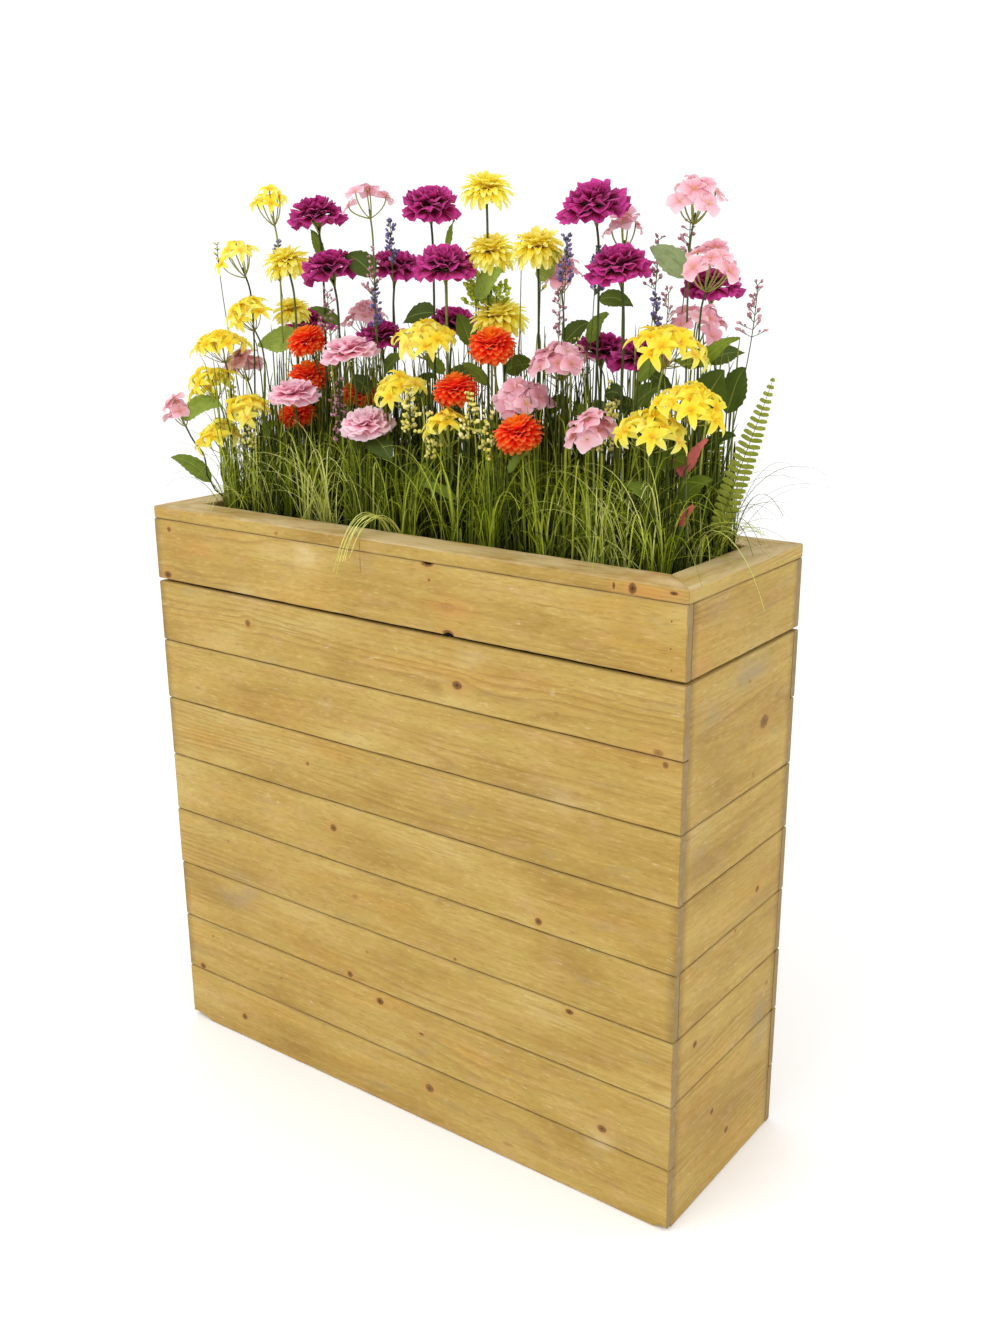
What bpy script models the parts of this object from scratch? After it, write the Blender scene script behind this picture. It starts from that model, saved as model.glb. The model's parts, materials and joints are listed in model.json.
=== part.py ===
"""Wooden flower planter: a tall, narrow box of pine boards, filled with bunches of artificial flowers,
grass and ferns.

Metres, +Z up. The origin is on the floor under the middle of the box. +X runs along the front to the
right and +Y to the back. A height in the planting plan is measured from the top of the rim.
"""

import math
import random

import bmesh
import bpy
from mathutils import Matrix, Vector
from mathutils.bvhtree import BVHTree

# Box
WIDTH = 0.968
DEPTH = 0.322
BOARD = 0.013
COURSES = 8
PITCH = 0.100
JOINT = 0.0015
TOP_JOINT = 0.003
TOP_BOARD = 0.098
RIM_WIDE = 0.058
RIM_THICK = 0.020
POST = 0.038
PANEL = 0.018
ARRIS = 0.0015
END_STEP = 0.0008
GAP = 0.0003
WALL_TOP = COURSES * PITCH + TOP_JOINT + TOP_BOARD
HEIGHT = WALL_TOP + RIM_THICK
INSIDE_X = WIDTH / 2 - BOARD - GAP
INSIDE_Y = DEPTH / 2 - BOARD - GAP
BETWEEN_POSTS = 2 * (INSIDE_X - POST - GAP)

# The first and last course that each end board covers
END_COURSES = ((1, 2), (3, 3), (4, 4), (5, 5), (6, 6), (7, 8), (9, 9))

# Planting bed, and the mat of greenery that lies on it
BED_TOP = HEIGHT - 0.080
BED_HIGH = 0.090
BED_CLEAR = 0.001
HOLE_DEEP = 0.060
MAT_THICK = 0.006
MAT_LONG = 0.844
MAT_WIDE = 0.198
MAT_TOP = BED_TOP + GAP + MAT_THICK

# Stems
CROWN_SIDES = 6
CROWN_RADIUS = 0.005
CROWN_RISE = 0.034
CROWN_LOWEST = 0.004
MAT_HOLE = 0.0075
STEM_RADIUS = 0.0021
STALK_RADIUS = 0.0011
STEM_START = 0.0030
STEM_PITCH = 0.0034
HEAD_STRAIGHT = 0.022
FAN_RISE = 0.045
FAN_TOP = 0.105
FAN_X = 0.440
FAN_Y = 0.084
NECK_SUNK = 0.005
CLEAR = 0.0006
SHORTEST_EDGE = 0.0001
TUBE_HINT = Vector((0.93, 0.31, 0.17))

# Flower heads
END_LEAN = 3.5
CARNATION_PETALS = 6
DAHLIA_PETALS = 8
CARNATION_HIGH = 0.56
DAHLIA_HIGH = 0.42
POMPOM_PETALS = 6
POMPOM_HIGH = 0.86
FLORETS = 5
SMALL_UMBEL = 0.072
STAR_SHARE = 0.50
ROUND_SHARE = 0.44
FLORET_THICK = 0.0036
UMBEL_DEEP = 0.032
FOOT_PITCH = 0.0034

# Broad leaves
LEAF_STEPS = 5
LEAF_THICK = 0.0022
LEAF_FACING = Vector((0.35, -0.75, 0.55))

# Sprays
SPRAY_LONG = 0.060
SPRAY_WHORLS = 3
SPRAY_STEM_STEPS = 3
SPRAY_RADIUS = 0.0013
BUD_RADIUS = 0.0062

# Grass: how far out the tips are, how high the blades rise, and how far the tips come down again
UPRIGHT_BLADES = 35
UPRIGHT_REACH = (0.01, 0.05)
UPRIGHT_RISE = (0.15, 0.25)
UPRIGHT_DROOP = (0.0, 0.01)
ARCHING_BLADES = 28
ARCHING_REACH = (0.09, 0.17)
ARCHING_RISE = (0.15, 0.24)
ARCHING_DROOP = (0.02, 0.09)
BLADE_WIDE = 0.0034
BLADE_THICK = 0.0012
BLADE_TAPER = (0.9, 1.0, 0.85, 0.6)
DRAPED_TAPER = (0.9, 1.0, 1.0, 0.9, 0.8, 0.6)
DRAPED_RISE = 0.12
ROOT_SUNK = 0.0036
EDGE_ROOM = 0.006
HOLE_ROOM = 0.004

# Ferns
FERN_PAIRS = 9
FERN_WIDE = 0.038
FERN_RIB = 0.004
FERN_BARE = 0.35

SEED = 5

# Planting plan: root of each bunch, then kind, x, y, height and breadth of each flower head
BUNCHES = {
    "purple_carnations_left": ((-0.270, 0.045), (
        ("carnation", -0.235, -0.020, 0.440, 0.084),
        ("carnation", -0.210, -0.020, 0.365, 0.084),
        ("carnation", -0.365, 0.088, 0.275, 0.078),
    )),
    "purple_carnations_centre": ((-0.075, 0.055), (
        ("carnation", -0.035, 0.000, 0.450, 0.082),
        ("carnation", -0.145, 0.052, 0.365, 0.080),
        ("carnation", 0.015, -0.030, 0.370, 0.084),
        ("carnation", -0.150, 0.020, 0.265, 0.078),
        ("carnation", -0.050, 0.070, 0.285, 0.080),
    )),
    "purple_carnations_right": ((0.275, 0.055), (
        ("carnation", 0.245, -0.010, 0.445, 0.088),
        ("carnation", 0.295, -0.030, 0.370, 0.082),
        ("carnation", 0.360, 0.100, 0.343, 0.080),
        ("carnation", 0.205, 0.075, 0.255, 0.080),
        ("carnation", 0.275, 0.060, 0.250, 0.080),
    )),
    "pink_carnations": ((-0.150, -0.055), (
        ("carnation", -0.135, -0.070, 0.250, 0.084),
        ("carnation", -0.235, -0.085, 0.185, 0.078),
        ("carnation", -0.095, -0.080, 0.150, 0.080),
    )),
    "orange_pompoms_left": ((-0.250, -0.030), (
        ("pompom", -0.255, -0.030, 0.255, 0.058),
        ("pompom", -0.270, -0.015, 0.200, 0.060),
        ("pompom", -0.190, 0.010, 0.175, 0.056),
        ("pompom", -0.286, -0.028, 0.143, 0.056),
    )),
    "orange_pompoms_centre": ((0.115, -0.035), (
        ("pompom", 0.050, -0.055, 0.200, 0.060),
        ("pompom", 0.095, -0.030, 0.260, 0.062),
        ("pompom", 0.182, -0.090, 0.153, 0.062),
    )),
    "yellow_flowers_left": ((-0.372, -0.030), (
        ("stars", -0.320, -0.030, 0.458, 0.064),
        ("stars", -0.375, -0.050, 0.383, 0.072),
        ("stars", -0.363, -0.050, 0.297, 0.076),
        ("stars", -0.415, -0.060, 0.249, 0.094),
        ("stars", -0.434, -0.070, 0.192, 0.086),
        ("stars", -0.340, -0.082, 0.155, 0.074),
        ("stars", -0.405, -0.085, 0.111, 0.066),
        ("dahlia", -0.310, -0.010, 0.370, 0.066),
        ("dahlia", -0.335, 0.020, 0.297, 0.056),
    )),
    "yellow_flowers_centre": ((0.040, 0.010), (
        ("stars", -0.005, -0.050, 0.270, 0.104),
        ("stars", -0.050, -0.060, 0.200, 0.084),
        ("stars", 0.050, -0.080, 0.155, 0.070),
        ("dahlia", 0.065, 0.000, 0.465, 0.066),
        ("dahlia", 0.065, 0.010, 0.385, 0.064),
        ("dahlia", 0.150, 0.000, 0.390, 0.066),
        ("dahlia", 0.070, 0.020, 0.295, 0.074),
    )),
    "yellow_flowers_right": ((0.385, -0.050), (
        ("stars", 0.385, -0.050, 0.275, 0.106),
        ("stars", 0.430, -0.070, 0.210, 0.094),
        ("stars", 0.380, -0.085, 0.175, 0.092),
    )),
    "pink_umbels_left": ((-0.395, 0.030), (
        ("rounds", -0.428, -0.005, 0.216, 0.068),
        ("rounds", -0.496, -0.090, 0.150, 0.056),
    )),
    "pink_umbels_centre": ((-0.190, 0.015), (
        ("rounds", -0.142, -0.010, 0.465, 0.086),
        ("rounds", -0.210, 0.055, 0.290, 0.074),
    )),
    "pink_umbels_right": ((0.315, -0.015), (
        ("rounds", 0.255, 0.050, 0.420, 0.060),
        ("rounds", 0.165, 0.030, 0.360, 0.062),
        ("rounds", 0.200, -0.020, 0.250, 0.094),
        ("rounds", 0.145, -0.028, 0.197, 0.096),
        ("rounds", 0.290, -0.080, 0.170, 0.074),
        ("rounds", 0.390, 0.000, 0.450, 0.086),
        ("rounds", 0.425, -0.020, 0.370, 0.090),
        ("rounds", 0.380, 0.040, 0.295, 0.094),
    )),
}

# Broad leaves: bunch, stem, height on it, direction and rise in degrees, length, breadth
LEAVES = (
    ("pink_umbels_centre", 0, 0.350, 185, 52, 0.064, 0.034),
    ("yellow_flowers_left", 7, 0.250, 195, 18, 0.070, 0.044),
    ("pink_umbels_left", 1, 0.030, 180, 42, 0.098, 0.026),
    ("pink_umbels_left", 1, 0.130, 0, 10, 0.054, 0.034),
    ("pink_umbels_right", 5, 0.352, 182, 56, 0.066, 0.034),
    ("yellow_flowers_centre", 5, 0.346, 355, 70, 0.056, 0.028),
    ("pink_umbels_right", 6, 0.180, 0, 84, 0.072, 0.044),
    ("pink_umbels_right", 6, 0.245, 5, 58, 0.066, 0.018),
    ("pink_carnations", 2, 0.132, 350, -12, 0.064, 0.036),
    ("purple_carnations_left", 0, 0.375, 178, 86, 0.048, 0.014),
    ("purple_carnations_left", 1, 0.280, 180, 45, 0.062, 0.016),
    ("purple_carnations_centre", 0, 0.300, 185, 8, 0.058, 0.032),
    ("purple_carnations_right", 0, 0.325, 10, 12, 0.050, 0.024),
    ("pink_umbels_right", 1, 0.262, 10, 60, 0.048, 0.028),
    ("yellow_flowers_centre", 6, 0.222, 10, 34, 0.048, 0.030),
    ("yellow_flowers_right", 1, 0.130, 180, 20, 0.060, 0.030),
    ("purple_carnations_left", 2, 0.190, 100, 30, 0.065, 0.030),
    ("purple_carnations_centre", 4, 0.200, 80, 30, 0.065, 0.030),
    ("purple_carnations_right", 3, 0.170, 110, 25, 0.065, 0.030),
    ("purple_carnations_right", 2, 0.240, 60, 35, 0.060, 0.028),
)

# Sprays of small buds: kind, x, y, height of the tip
SPRAYS = (
    ("lavender", -0.108, 0.000, 0.440),
    ("lavender", -0.150, -0.030, 0.345),
    ("lavender", -0.345, 0.045, 0.410),
    ("lavender", 0.222, -0.038, 0.405),
    ("lavender", 0.340, -0.010, 0.345),
    ("berry", -0.195, -0.045, 0.330),
    ("berry", 0.362, 0.032, 0.420),
    ("berry", 0.460, 0.030, 0.350),
    ("berry", -0.190, -0.035, 0.200),
    ("bud", -0.005, -0.090, 0.200),
    ("bud", 0.105, -0.095, 0.200),
    ("bud", 0.120, 0.050, 0.360),
)

# Fern fronds: root x, y, tip x, y, height of the tip
FERNS = (
    (0.415, 0.020, 0.497, 0.010, 0.235),
    (0.385, 0.075, 0.400, 0.050, 0.185),
)

# Blades that lie over the edge of the box: root x, y, then x, y of the tip and its height
DRAPED = (
    (-0.045, -0.088, -0.073, -0.196, -0.050),
    (-0.065, -0.090, -0.094, -0.190, -0.060),
    (-0.022, -0.090, -0.052, -0.192, -0.030),
    (0.405, -0.015, 0.512, -0.030, -0.070),
)

# Colours as red, green and blue from 0 to 255
COLOURS = {
    "pine": (200, 166, 96),
    "pine_inside": (176, 142, 88),
    "bed": (44, 40, 26),
    "mat": (58, 62, 24),
    "stem": (72, 88, 34),
    "leaf": (92, 116, 44),
    "grass": (104, 120, 44),
    "lime_grass": (168, 176, 84),
    "purple": (146, 26, 92),
    "pink": (236, 150, 182),
    "pale_pink": (234, 178, 188),
    "orange": (232, 74, 28),
    "yellow": (246, 222, 70),
    "lavender": (120, 104, 160),
    "berry": (214, 130, 140),
    "bud": (226, 214, 120),
}
ROUGH = {"pine": 0.7, "pine_inside": 0.8, "bed": 0.95, "mat": 0.95, "stem": 0.45, "grass": 0.5}
PLAIN_ROUGH = 0.75
PLANT_SLOTS = ("stem", "leaf", "grass", "lime_grass", "mat", "purple", "pink", "pale_pink", "orange",
               "yellow", "lavender", "berry", "bud")

PETALS = {
    "purple_carnations_left": "purple",
    "purple_carnations_centre": "purple",
    "purple_carnations_right": "purple",
    "pink_carnations": "pink",
    "orange_pompoms_left": "orange",
    "orange_pompoms_centre": "orange",
    "yellow_flowers_left": "yellow",
    "yellow_flowers_centre": "yellow",
    "yellow_flowers_right": "yellow",
    "pink_umbels_left": "pale_pink",
    "pink_umbels_centre": "pale_pink",
    "pink_umbels_right": "pale_pink",
}


def clear_scene():
    for thing in list(bpy.data.objects):
        bpy.data.objects.remove(thing, do_unlink=True)


def new_collection(name):
    made = bpy.data.collections.new(name)
    bpy.context.scene.collection.children.link(made)
    return made


def linear(value):
    """One 0 to 255 colour value as Blender's shaders take it."""
    share = value / 255
    return share / 12.92 if share <= 0.04045 else ((share + 0.055) / 1.055) ** 2.4


def make_material(name):
    made = bpy.data.materials.new(name)
    made.use_nodes = True
    shader = made.node_tree.nodes["Principled BSDF"]
    colour = (*(linear(value) for value in COLOURS[name]), 1)
    shader.inputs["Base Color"].default_value = colour
    shader.inputs["Roughness"].default_value = ROUGH.get(name, PLAIN_ROUGH)
    shader.inputs["Metallic"].default_value = 0
    made.diffuse_color = colour
    return made


def mesh_object(name, bm, slots, collection):
    """An object made from a bmesh, which is freed."""
    mesh = bpy.data.meshes.new(name)
    bm.to_mesh(mesh)
    bm.free()
    for slot in slots:
        mesh.materials.append(bpy.data.materials[slot])
    made = bpy.data.objects.new(name, mesh)
    collection.objects.link(made)
    return made


# Shapes

def faces_between(bm, low, high):
    for step in range(len(low)):
        after = (step + 1) % len(low)
        bm.faces.new((low[step], low[after], high[after], high[step]))


def fan(bm, ring, point, upward):
    for step in range(len(ring)):
        after = (step + 1) % len(ring)
        corners = (ring[step], ring[after], point)
        bm.faces.new(corners if upward else corners[::-1])


def loft(sections, start=None, tip=None):
    """A closed shape through sections of equal count, ending in a face or, where given, in a point.
    Each section runs counter-clockwise seen from the tip's side."""
    bm = bmesh.new()
    rings = [[bm.verts.new(point) for point in section] for section in sections]
    for low, high in zip(rings, rings[1:]):
        faces_between(bm, low, high)
    if start is None:
        bm.faces.new(rings[0][::-1])
    else:
        fan(bm, rings[0], bm.verts.new(start), upward=False)
    if tip is None:
        bm.faces.new(rings[-1])
    else:
        fan(bm, rings[-1], bm.verts.new(tip), upward=True)
    bmesh.ops.triangulate(bm, faces=bm.faces[:])
    bmesh.ops.recalc_face_normals(bm, faces=bm.faces[:])
    return bm


def bezier(start, first, second, end, share):
    rest = 1 - share
    return (start * rest ** 3 + first * (3 * rest * rest * share)
            + second * (3 * rest * share * share) + end * share ** 3)


def path_frames(path, side_hint):
    """Each point of a path with the directions along it, across it and out of it."""
    frames = []
    for step, point in enumerate(path):
        before = path[max(step - 1, 0)]
        after = path[min(step + 1, len(path) - 1)]
        along = (after - before).normalized()
        across = along.cross(side_hint).normalized()
        frames.append((point, along, across, across.cross(along)))
    return frames


def tube(path, radii, sides=3):
    """A few-sided tube along a path."""
    sections = []
    for (point, _, across, out), radius in zip(path_frames(path, TUBE_HINT), radii):
        section = []
        for side in range(sides):
            angle = -math.tau * side / sides
            section.append(point + radius * (math.cos(angle) * across + math.sin(angle) * out))
        sections.append(section)
    return loft(sections)


def blade(path, widths, thick, side_hint, twist=0.0):
    """A tapering blade with a flat underside and a ridge, which ends in a point."""
    sections = []
    frames = path_frames(path, side_hint)
    for step, ((point, _, across, out), width) in enumerate(zip(frames[:-1], widths)):
        angle = twist * step
        left = math.cos(angle) * across + math.sin(angle) * out
        up = left.cross(frames[step][1])
        sections.append((point - left * width / 2, point + left * width / 2, point + up * thick))
    return loft(sections, tip=path[-1])


def leaf(path, widths, thick, side_hint):
    """A leaf with a raised rib on both sides, whose breadth steps in and out for its teeth."""
    sections = []
    for (point, _, across, out), width in list(zip(path_frames(path, side_hint), widths))[1:-1]:
        sections.append((
            point - across * width / 2,
            point - out * thick / 2,
            point + across * width / 2,
            point + out * thick / 2,
        ))
    return loft(sections, start=path[0], tip=path[-1])


def petal_ring(radius, height, petals, reach, droop, turn):
    """The edge of one layer of petals: a tip and a notch in turn."""
    ring = []
    for step in range(2 * petals):
        sign = 1 if step % 2 == 0 else -1
        across = radius * (1 + sign * reach)
        angle = math.tau * (step + turn) / (2 * petals)
        ring.append(Vector((across * math.cos(angle), across * math.sin(angle), height - sign * droop)))
    return ring


def carnation(across, spin):
    """Three layers of frilled petals, each layer set half a petal round from the one below."""
    radius = across / 2.2
    high = across * CARNATION_HIGH
    rings = (
        petal_ring(1.00 * radius, 0.40 * high, CARNATION_PETALS, 0.10, 0.07 * high, spin),
        petal_ring(0.66 * radius, 0.50 * high, CARNATION_PETALS, -0.06, 0, spin),
        petal_ring(0.84 * radius, 0.72 * high, CARNATION_PETALS, 0.12, 0.06 * high, spin + 1),
        petal_ring(0.44 * radius, 0.74 * high, CARNATION_PETALS, -0.10, 0, spin + 1),
        petal_ring(0.52 * radius, 0.97 * high, CARNATION_PETALS, 0.16, -0.03 * high, spin),
    )
    return loft(rings, start=(0, 0, 0), tip=(0, 0, 0.80 * high))


def dahlia(across, spin):
    """Two layers of long narrow petals round a raised middle."""
    radius = across / 2.3
    high = across * DAHLIA_HIGH
    rings = (
        petal_ring(1.00 * radius, 0.46 * high, DAHLIA_PETALS, 0.15, 0.13 * high, spin),
        petal_ring(0.66 * radius, 0.64 * high, DAHLIA_PETALS, -0.08, 0, spin),
        petal_ring(0.74 * radius, 0.88 * high, DAHLIA_PETALS, 0.16, 0.05 * high, spin + 1),
        petal_ring(0.34 * radius, 0.94 * high, DAHLIA_PETALS, 0.06, 0, spin + 1),
    )
    return loft(rings, start=(0, 0, 0), tip=(0, 0, 1.08 * high))


def pompom(across, spin):
    """A ball of short pointed petals: the tips of each ring stand over the notches of the one below."""
    radius = across / 2.2
    high = across * POMPOM_HIGH
    rings = []
    for step in range(5):
        angle = math.radians(-58 + 29 * step)
        ring_radius = radius * math.cos(angle)
        rings.append(petal_ring(ring_radius, high * (0.5 + 0.46 * math.sin(angle)), POMPOM_PETALS,
                                0.13, 0.02 * high, spin + step % 2))
    return loft(rings, start=(0, 0, 0), tip=(0, 0, high))


def floret(outline, hub):
    """A thin floret with its middle at the origin, on a three-sided stalk from the hub."""
    bm = bmesh.new()
    edge = [bm.verts.new(point) for point in outline]
    fan(bm, edge, bm.verts.new((0, 0, FLORET_THICK / 2)), upward=True)
    neck, foot = [], []
    for side in range(3):
        angle = math.tau * side / 3
        spoke = Vector((math.cos(angle), math.sin(angle), 0)) * STALK_RADIUS
        neck.append(bm.verts.new(spoke - Vector((0, 0, FLORET_THICK / 2))))
        foot.append(bm.verts.new(hub + spoke))
    count = len(edge)
    for step in range(count):
        side = step * 3 // count
        after = (step + 1) * 3 // count % 3
        bm.faces.new((edge[(step + 1) % count], edge[step], neck[side]))
        if after != side:
            bm.faces.new((edge[(step + 1) % count], neck[side], neck[after]))
    faces_between(bm, foot, neck)
    bm.faces.new(foot[::-1])
    bmesh.ops.triangulate(bm, faces=bm.faces[:])
    bmesh.ops.recalc_face_normals(bm, faces=bm.faces[:])
    return bm


def star_outline(radius):
    """Five pointed petals whose tips hang down."""
    outline = []
    for step in range(10):
        tip = step % 2 == 0
        across = radius if tip else 0.40 * radius
        angle = math.tau * step / 10
        outline.append(Vector((across * math.cos(angle), across * math.sin(angle),
                               -0.32 * radius if tip else 0)))
    return outline


def round_outline(radius):
    """Four broad petals with a notch between them."""
    outline = []
    for petal in range(4):
        middle = math.tau * petal / 4
        for turn, reach, drop in ((0, 1.0, -0.10), (math.tau / 8, 0.64, 0.0)):
            angle = middle + turn
            outline.append(Vector((reach * radius * math.cos(angle), reach * radius * math.sin(angle),
                                   drop * radius)))
    return outline


def tilted(direction, spin):
    """A turn that brings +Z to the given direction, after a spin about +Z."""
    up = Vector((0, 0, 1))
    return up.rotation_difference(direction).to_matrix().to_4x4() @ Matrix.Rotation(spin, 4, "Z")


def umbel(across, outline_of, floret_share, spin):
    """Florets on stalks that spread from the stem's end: one in the middle, the others round it."""
    shapes = []
    florets = FLORETS if across > SMALL_UMBEL else FLORETS - 1
    radius = floret_share * across / 2
    spread = across / 2 - 0.80 * radius
    for step in range(florets):
        if step == 0:
            place = Vector((0, 0, UMBEL_DEEP * 1.30))
            facing = Vector((0.1, 0.05, 1))
        else:
            angle = spin + math.tau * step / (florets - 1)
            out = Vector((math.cos(angle), math.sin(angle), 0))
            place = out * spread + Vector((0, 0, UMBEL_DEEP * (0.72 + 0.10 * (step % 2))))
            facing = out * 0.75 + Vector((0, 0, 1))
        turned = Matrix.Translation(place) @ tilted(facing.normalized(), spin + 2.4 * step)
        foot = Vector((0, 0, -0.002 - FOOT_PITCH * step))
        face = floret(outline_of(radius), turned.inverted() @ foot)
        bmesh.ops.transform(face, matrix=turned, verts=face.verts)
        shapes.append(face)
    return shapes


def head_shapes(kind, across, spin):
    """The shapes of a flower head in its own frame, with its stem's end at the origin, and the height of
    its middle."""
    if kind == "carnation":
        return [carnation(across, spin)], 0.45 * CARNATION_HIGH * across
    if kind == "dahlia":
        return [dahlia(across, spin)], 0.5 * DAHLIA_HIGH * across
    if kind == "pompom":
        return [pompom(across, spin)], 0.5 * POMPOM_HIGH * across
    if kind == "stars":
        return umbel(across, star_outline, STAR_SHARE, spin), 0.78 * UMBEL_DEEP
    return umbel(across, round_outline, ROUND_SHARE, spin), 0.78 * UMBEL_DEEP


# Clearance between plants

class Plant:
    """The shapes of one node, which are fused into one body."""

    taken = []

    def __init__(self, name):
        self.name = name
        self.shapes = []
        self.stems = []

    def add(self, bm, slot):
        """Keeps a shape, paints it, and notes the room that it takes."""
        for face in bm.faces:
            face.material_index = PLANT_SLOTS.index(slot)
        self.shapes.append(bm)
        note_room(self.name, bm)

    def add_if_clear(self, bm, slot, alone=False):
        """Keeps a shape only if it is clear of the other nodes and, alone, of its own node's shapes too,
        apart from the first, which it grows from."""
        if is_clear(self.name, bm) and not (alone and self.crosses(bm)):
            self.add(bm, slot)
            return True
        bm.free()
        return False

    def crosses(self, bm):
        """Whether a shape crosses one of this node's own, apart from the first."""
        tree = BVHTree.FromBMesh(bm)
        low, high = corners_of(bm)
        own = [room for room in Plant.taken if room[0] == self.name][1:]
        return any(boxes_meet(low, high, *room[2:]) and tree.overlap(room[1]) for room in own)


def boxes_meet(low, high, other_low, other_high):
    return all(low[axis] <= other_high[axis] + CLEAR and high[axis] >= other_low[axis] - CLEAR
               for axis in range(3))


def corners_of(bm):
    places = [vert.co for vert in bm.verts]
    low = Vector(min(place[axis] for place in places) for axis in range(3))
    high = Vector(max(place[axis] for place in places) for axis in range(3))
    return low, high


def note_room(owner, bm):
    Plant.taken.append((owner, BVHTree.FromBMesh(bm), *corners_of(bm)))


def is_clear(owner, bm):
    """Whether a shape keeps clear of every shape of the other nodes."""
    low, high = corners_of(bm)
    tree = BVHTree.FromBMesh(bm)
    for other, other_tree, other_low, other_high in Plant.taken:
        if other == owner or not boxes_meet(low, high, other_low, other_high):
            continue
        if tree.overlap(other_tree):
            return False
        for vert in bm.verts:
            if other_tree.find_nearest(vert.co, CLEAR)[0] is not None:
                return False
    return True


def close_short_edges(mesh):
    """Takes out the slivers that a union leaves where two surfaces nearly meet, from the longest edge
    down to the length at which the mesh stays closed."""
    for length in (SHORTEST_EDGE, SHORTEST_EDGE / 2, SHORTEST_EDGE / 8):
        bm = bmesh.new()
        bm.from_mesh(mesh)
        bmesh.ops.triangulate(bm, faces=bm.faces[:])
        bmesh.ops.dissolve_degenerate(bm, dist=length, edges=bm.edges[:])
        bmesh.ops.triangulate(bm, faces=bm.faces[:])
        closed = all(edge.is_manifold for edge in bm.edges)
        if closed:
            bm.to_mesh(mesh)
        bm.free()
        if closed:
            return


def fuse(plant, parts):
    """One closed body from a plant's shapes, by a union on a collection of them."""
    helpers = new_collection(plant.name + "_shapes")
    body = mesh_object(plant.name, plant.shapes[0], PLANT_SLOTS, parts)
    for shape in plant.shapes[1:]:
        mesh_object(plant.name + "_shape", shape, PLANT_SLOTS, helpers)
    union = body.modifiers.new("Fused", "BOOLEAN")
    union.operation = "UNION"
    union.operand_type = "COLLECTION"
    union.collection = helpers
    union.solver = "MANIFOLD"
    graph = bpy.context.evaluated_depsgraph_get()
    fused = bpy.data.meshes.new_from_object(body.evaluated_get(graph))
    body.modifiers.remove(union)
    close_short_edges(fused)
    loose = body.data
    body.data = fused
    bpy.data.meshes.remove(loose)
    fused.name = plant.name
    for helper in list(helpers.objects):
        mesh = helper.data
        bpy.data.objects.remove(helper, do_unlink=True)
        bpy.data.meshes.remove(mesh)
    bpy.data.collections.remove(helpers)
    return body


# Box

def ease_long_edges(bm, axis):
    """Eases the four edges that run along an axis, as on sawn and planed timber."""
    others = [each for each in range(3) if each != axis]
    edges = []
    for edge in bm.edges:
        run = edge.verts[1].co - edge.verts[0].co
        if all(abs(run[each]) < 1e-6 for each in others):
            edges.append(edge)
    bmesh.ops.bevel(bm, geom=edges, offset=ARRIS, segments=1, profile=0.5, affect="EDGES")


def timber(name, size, middle, axis, slot, parts):
    """A straight piece of timber with eased long edges."""
    bm = bmesh.new()
    bmesh.ops.create_cube(bm, size=1)
    bmesh.ops.scale(bm, vec=size, verts=bm.verts)
    ease_long_edges(bm, axis)
    made = mesh_object(name, bm, (slot,), parts)
    made.location = middle
    return made


def course_span(course):
    """The lowest and highest height of a course, counted from 1 at the floor."""
    if course <= COURSES:
        return (course - 1) * PITCH, course * PITCH - JOINT
    return COURSES * PITCH + TOP_JOINT, WALL_TOP


def wall_boards(draw, parts):
    """Front and back boards, one to a course, then the end boards, two of them over two courses."""
    for course in range(1, COURSES + 2):
        low, high = course_span(course)
        for name, sign in (("front", -1), ("back", 1)):
            shift = draw.uniform(-END_STEP, END_STEP)
            timber(f"{name}_board_{course}", (WIDTH, BOARD, high - low),
                   (shift, sign * (DEPTH - BOARD) / 2, (low + high) / 2), 0, "pine", parts)
    side_long = DEPTH - 2 * (BOARD + GAP)
    for number, (first, last) in enumerate(END_COURSES, 1):
        low, high = course_span(first)[0], course_span(last)[1]
        for name, sign in (("left", -1), ("right", 1)):
            timber(f"{name}_board_{number}", (BOARD, side_long, high - low),
                   (sign * (WIDTH - BOARD) / 2, 0, (low + high) / 2), 1, "pine", parts)


def rim_board(name, long, turn, parts):
    """A rim board, mitred at both ends. It is made along +X with its outer edge at -Y."""
    bm = bmesh.new()
    bmesh.ops.create_cube(bm, size=1)
    bmesh.ops.scale(bm, vec=(long - math.sqrt(2) * GAP, RIM_WIDE, RIM_THICK - GAP), verts=bm.verts)
    for vert in bm.verts:
        if vert.co.y > 0:
            vert.co.x -= math.copysign(RIM_WIDE, vert.co.x)
    ease_long_edges(bm, 0)
    made = mesh_object(name, bm, ("pine",), parts)
    reach = (DEPTH if long == WIDTH else WIDTH) / 2 - RIM_WIDE / 2
    out = Matrix.Rotation(turn, 4, "Z") @ Vector((0, -reach, 0))
    made.rotation_euler.z = turn
    made.location = (out.x, out.y, (WALL_TOP + GAP + HEIGHT) / 2)


def rim(parts):
    rim_board("rim_front", WIDTH, 0, parts)
    rim_board("rim_right", DEPTH, math.pi / 2, parts)
    rim_board("rim_back", WIDTH, math.pi, parts)
    rim_board("rim_left", DEPTH, -math.pi / 2, parts)


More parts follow.
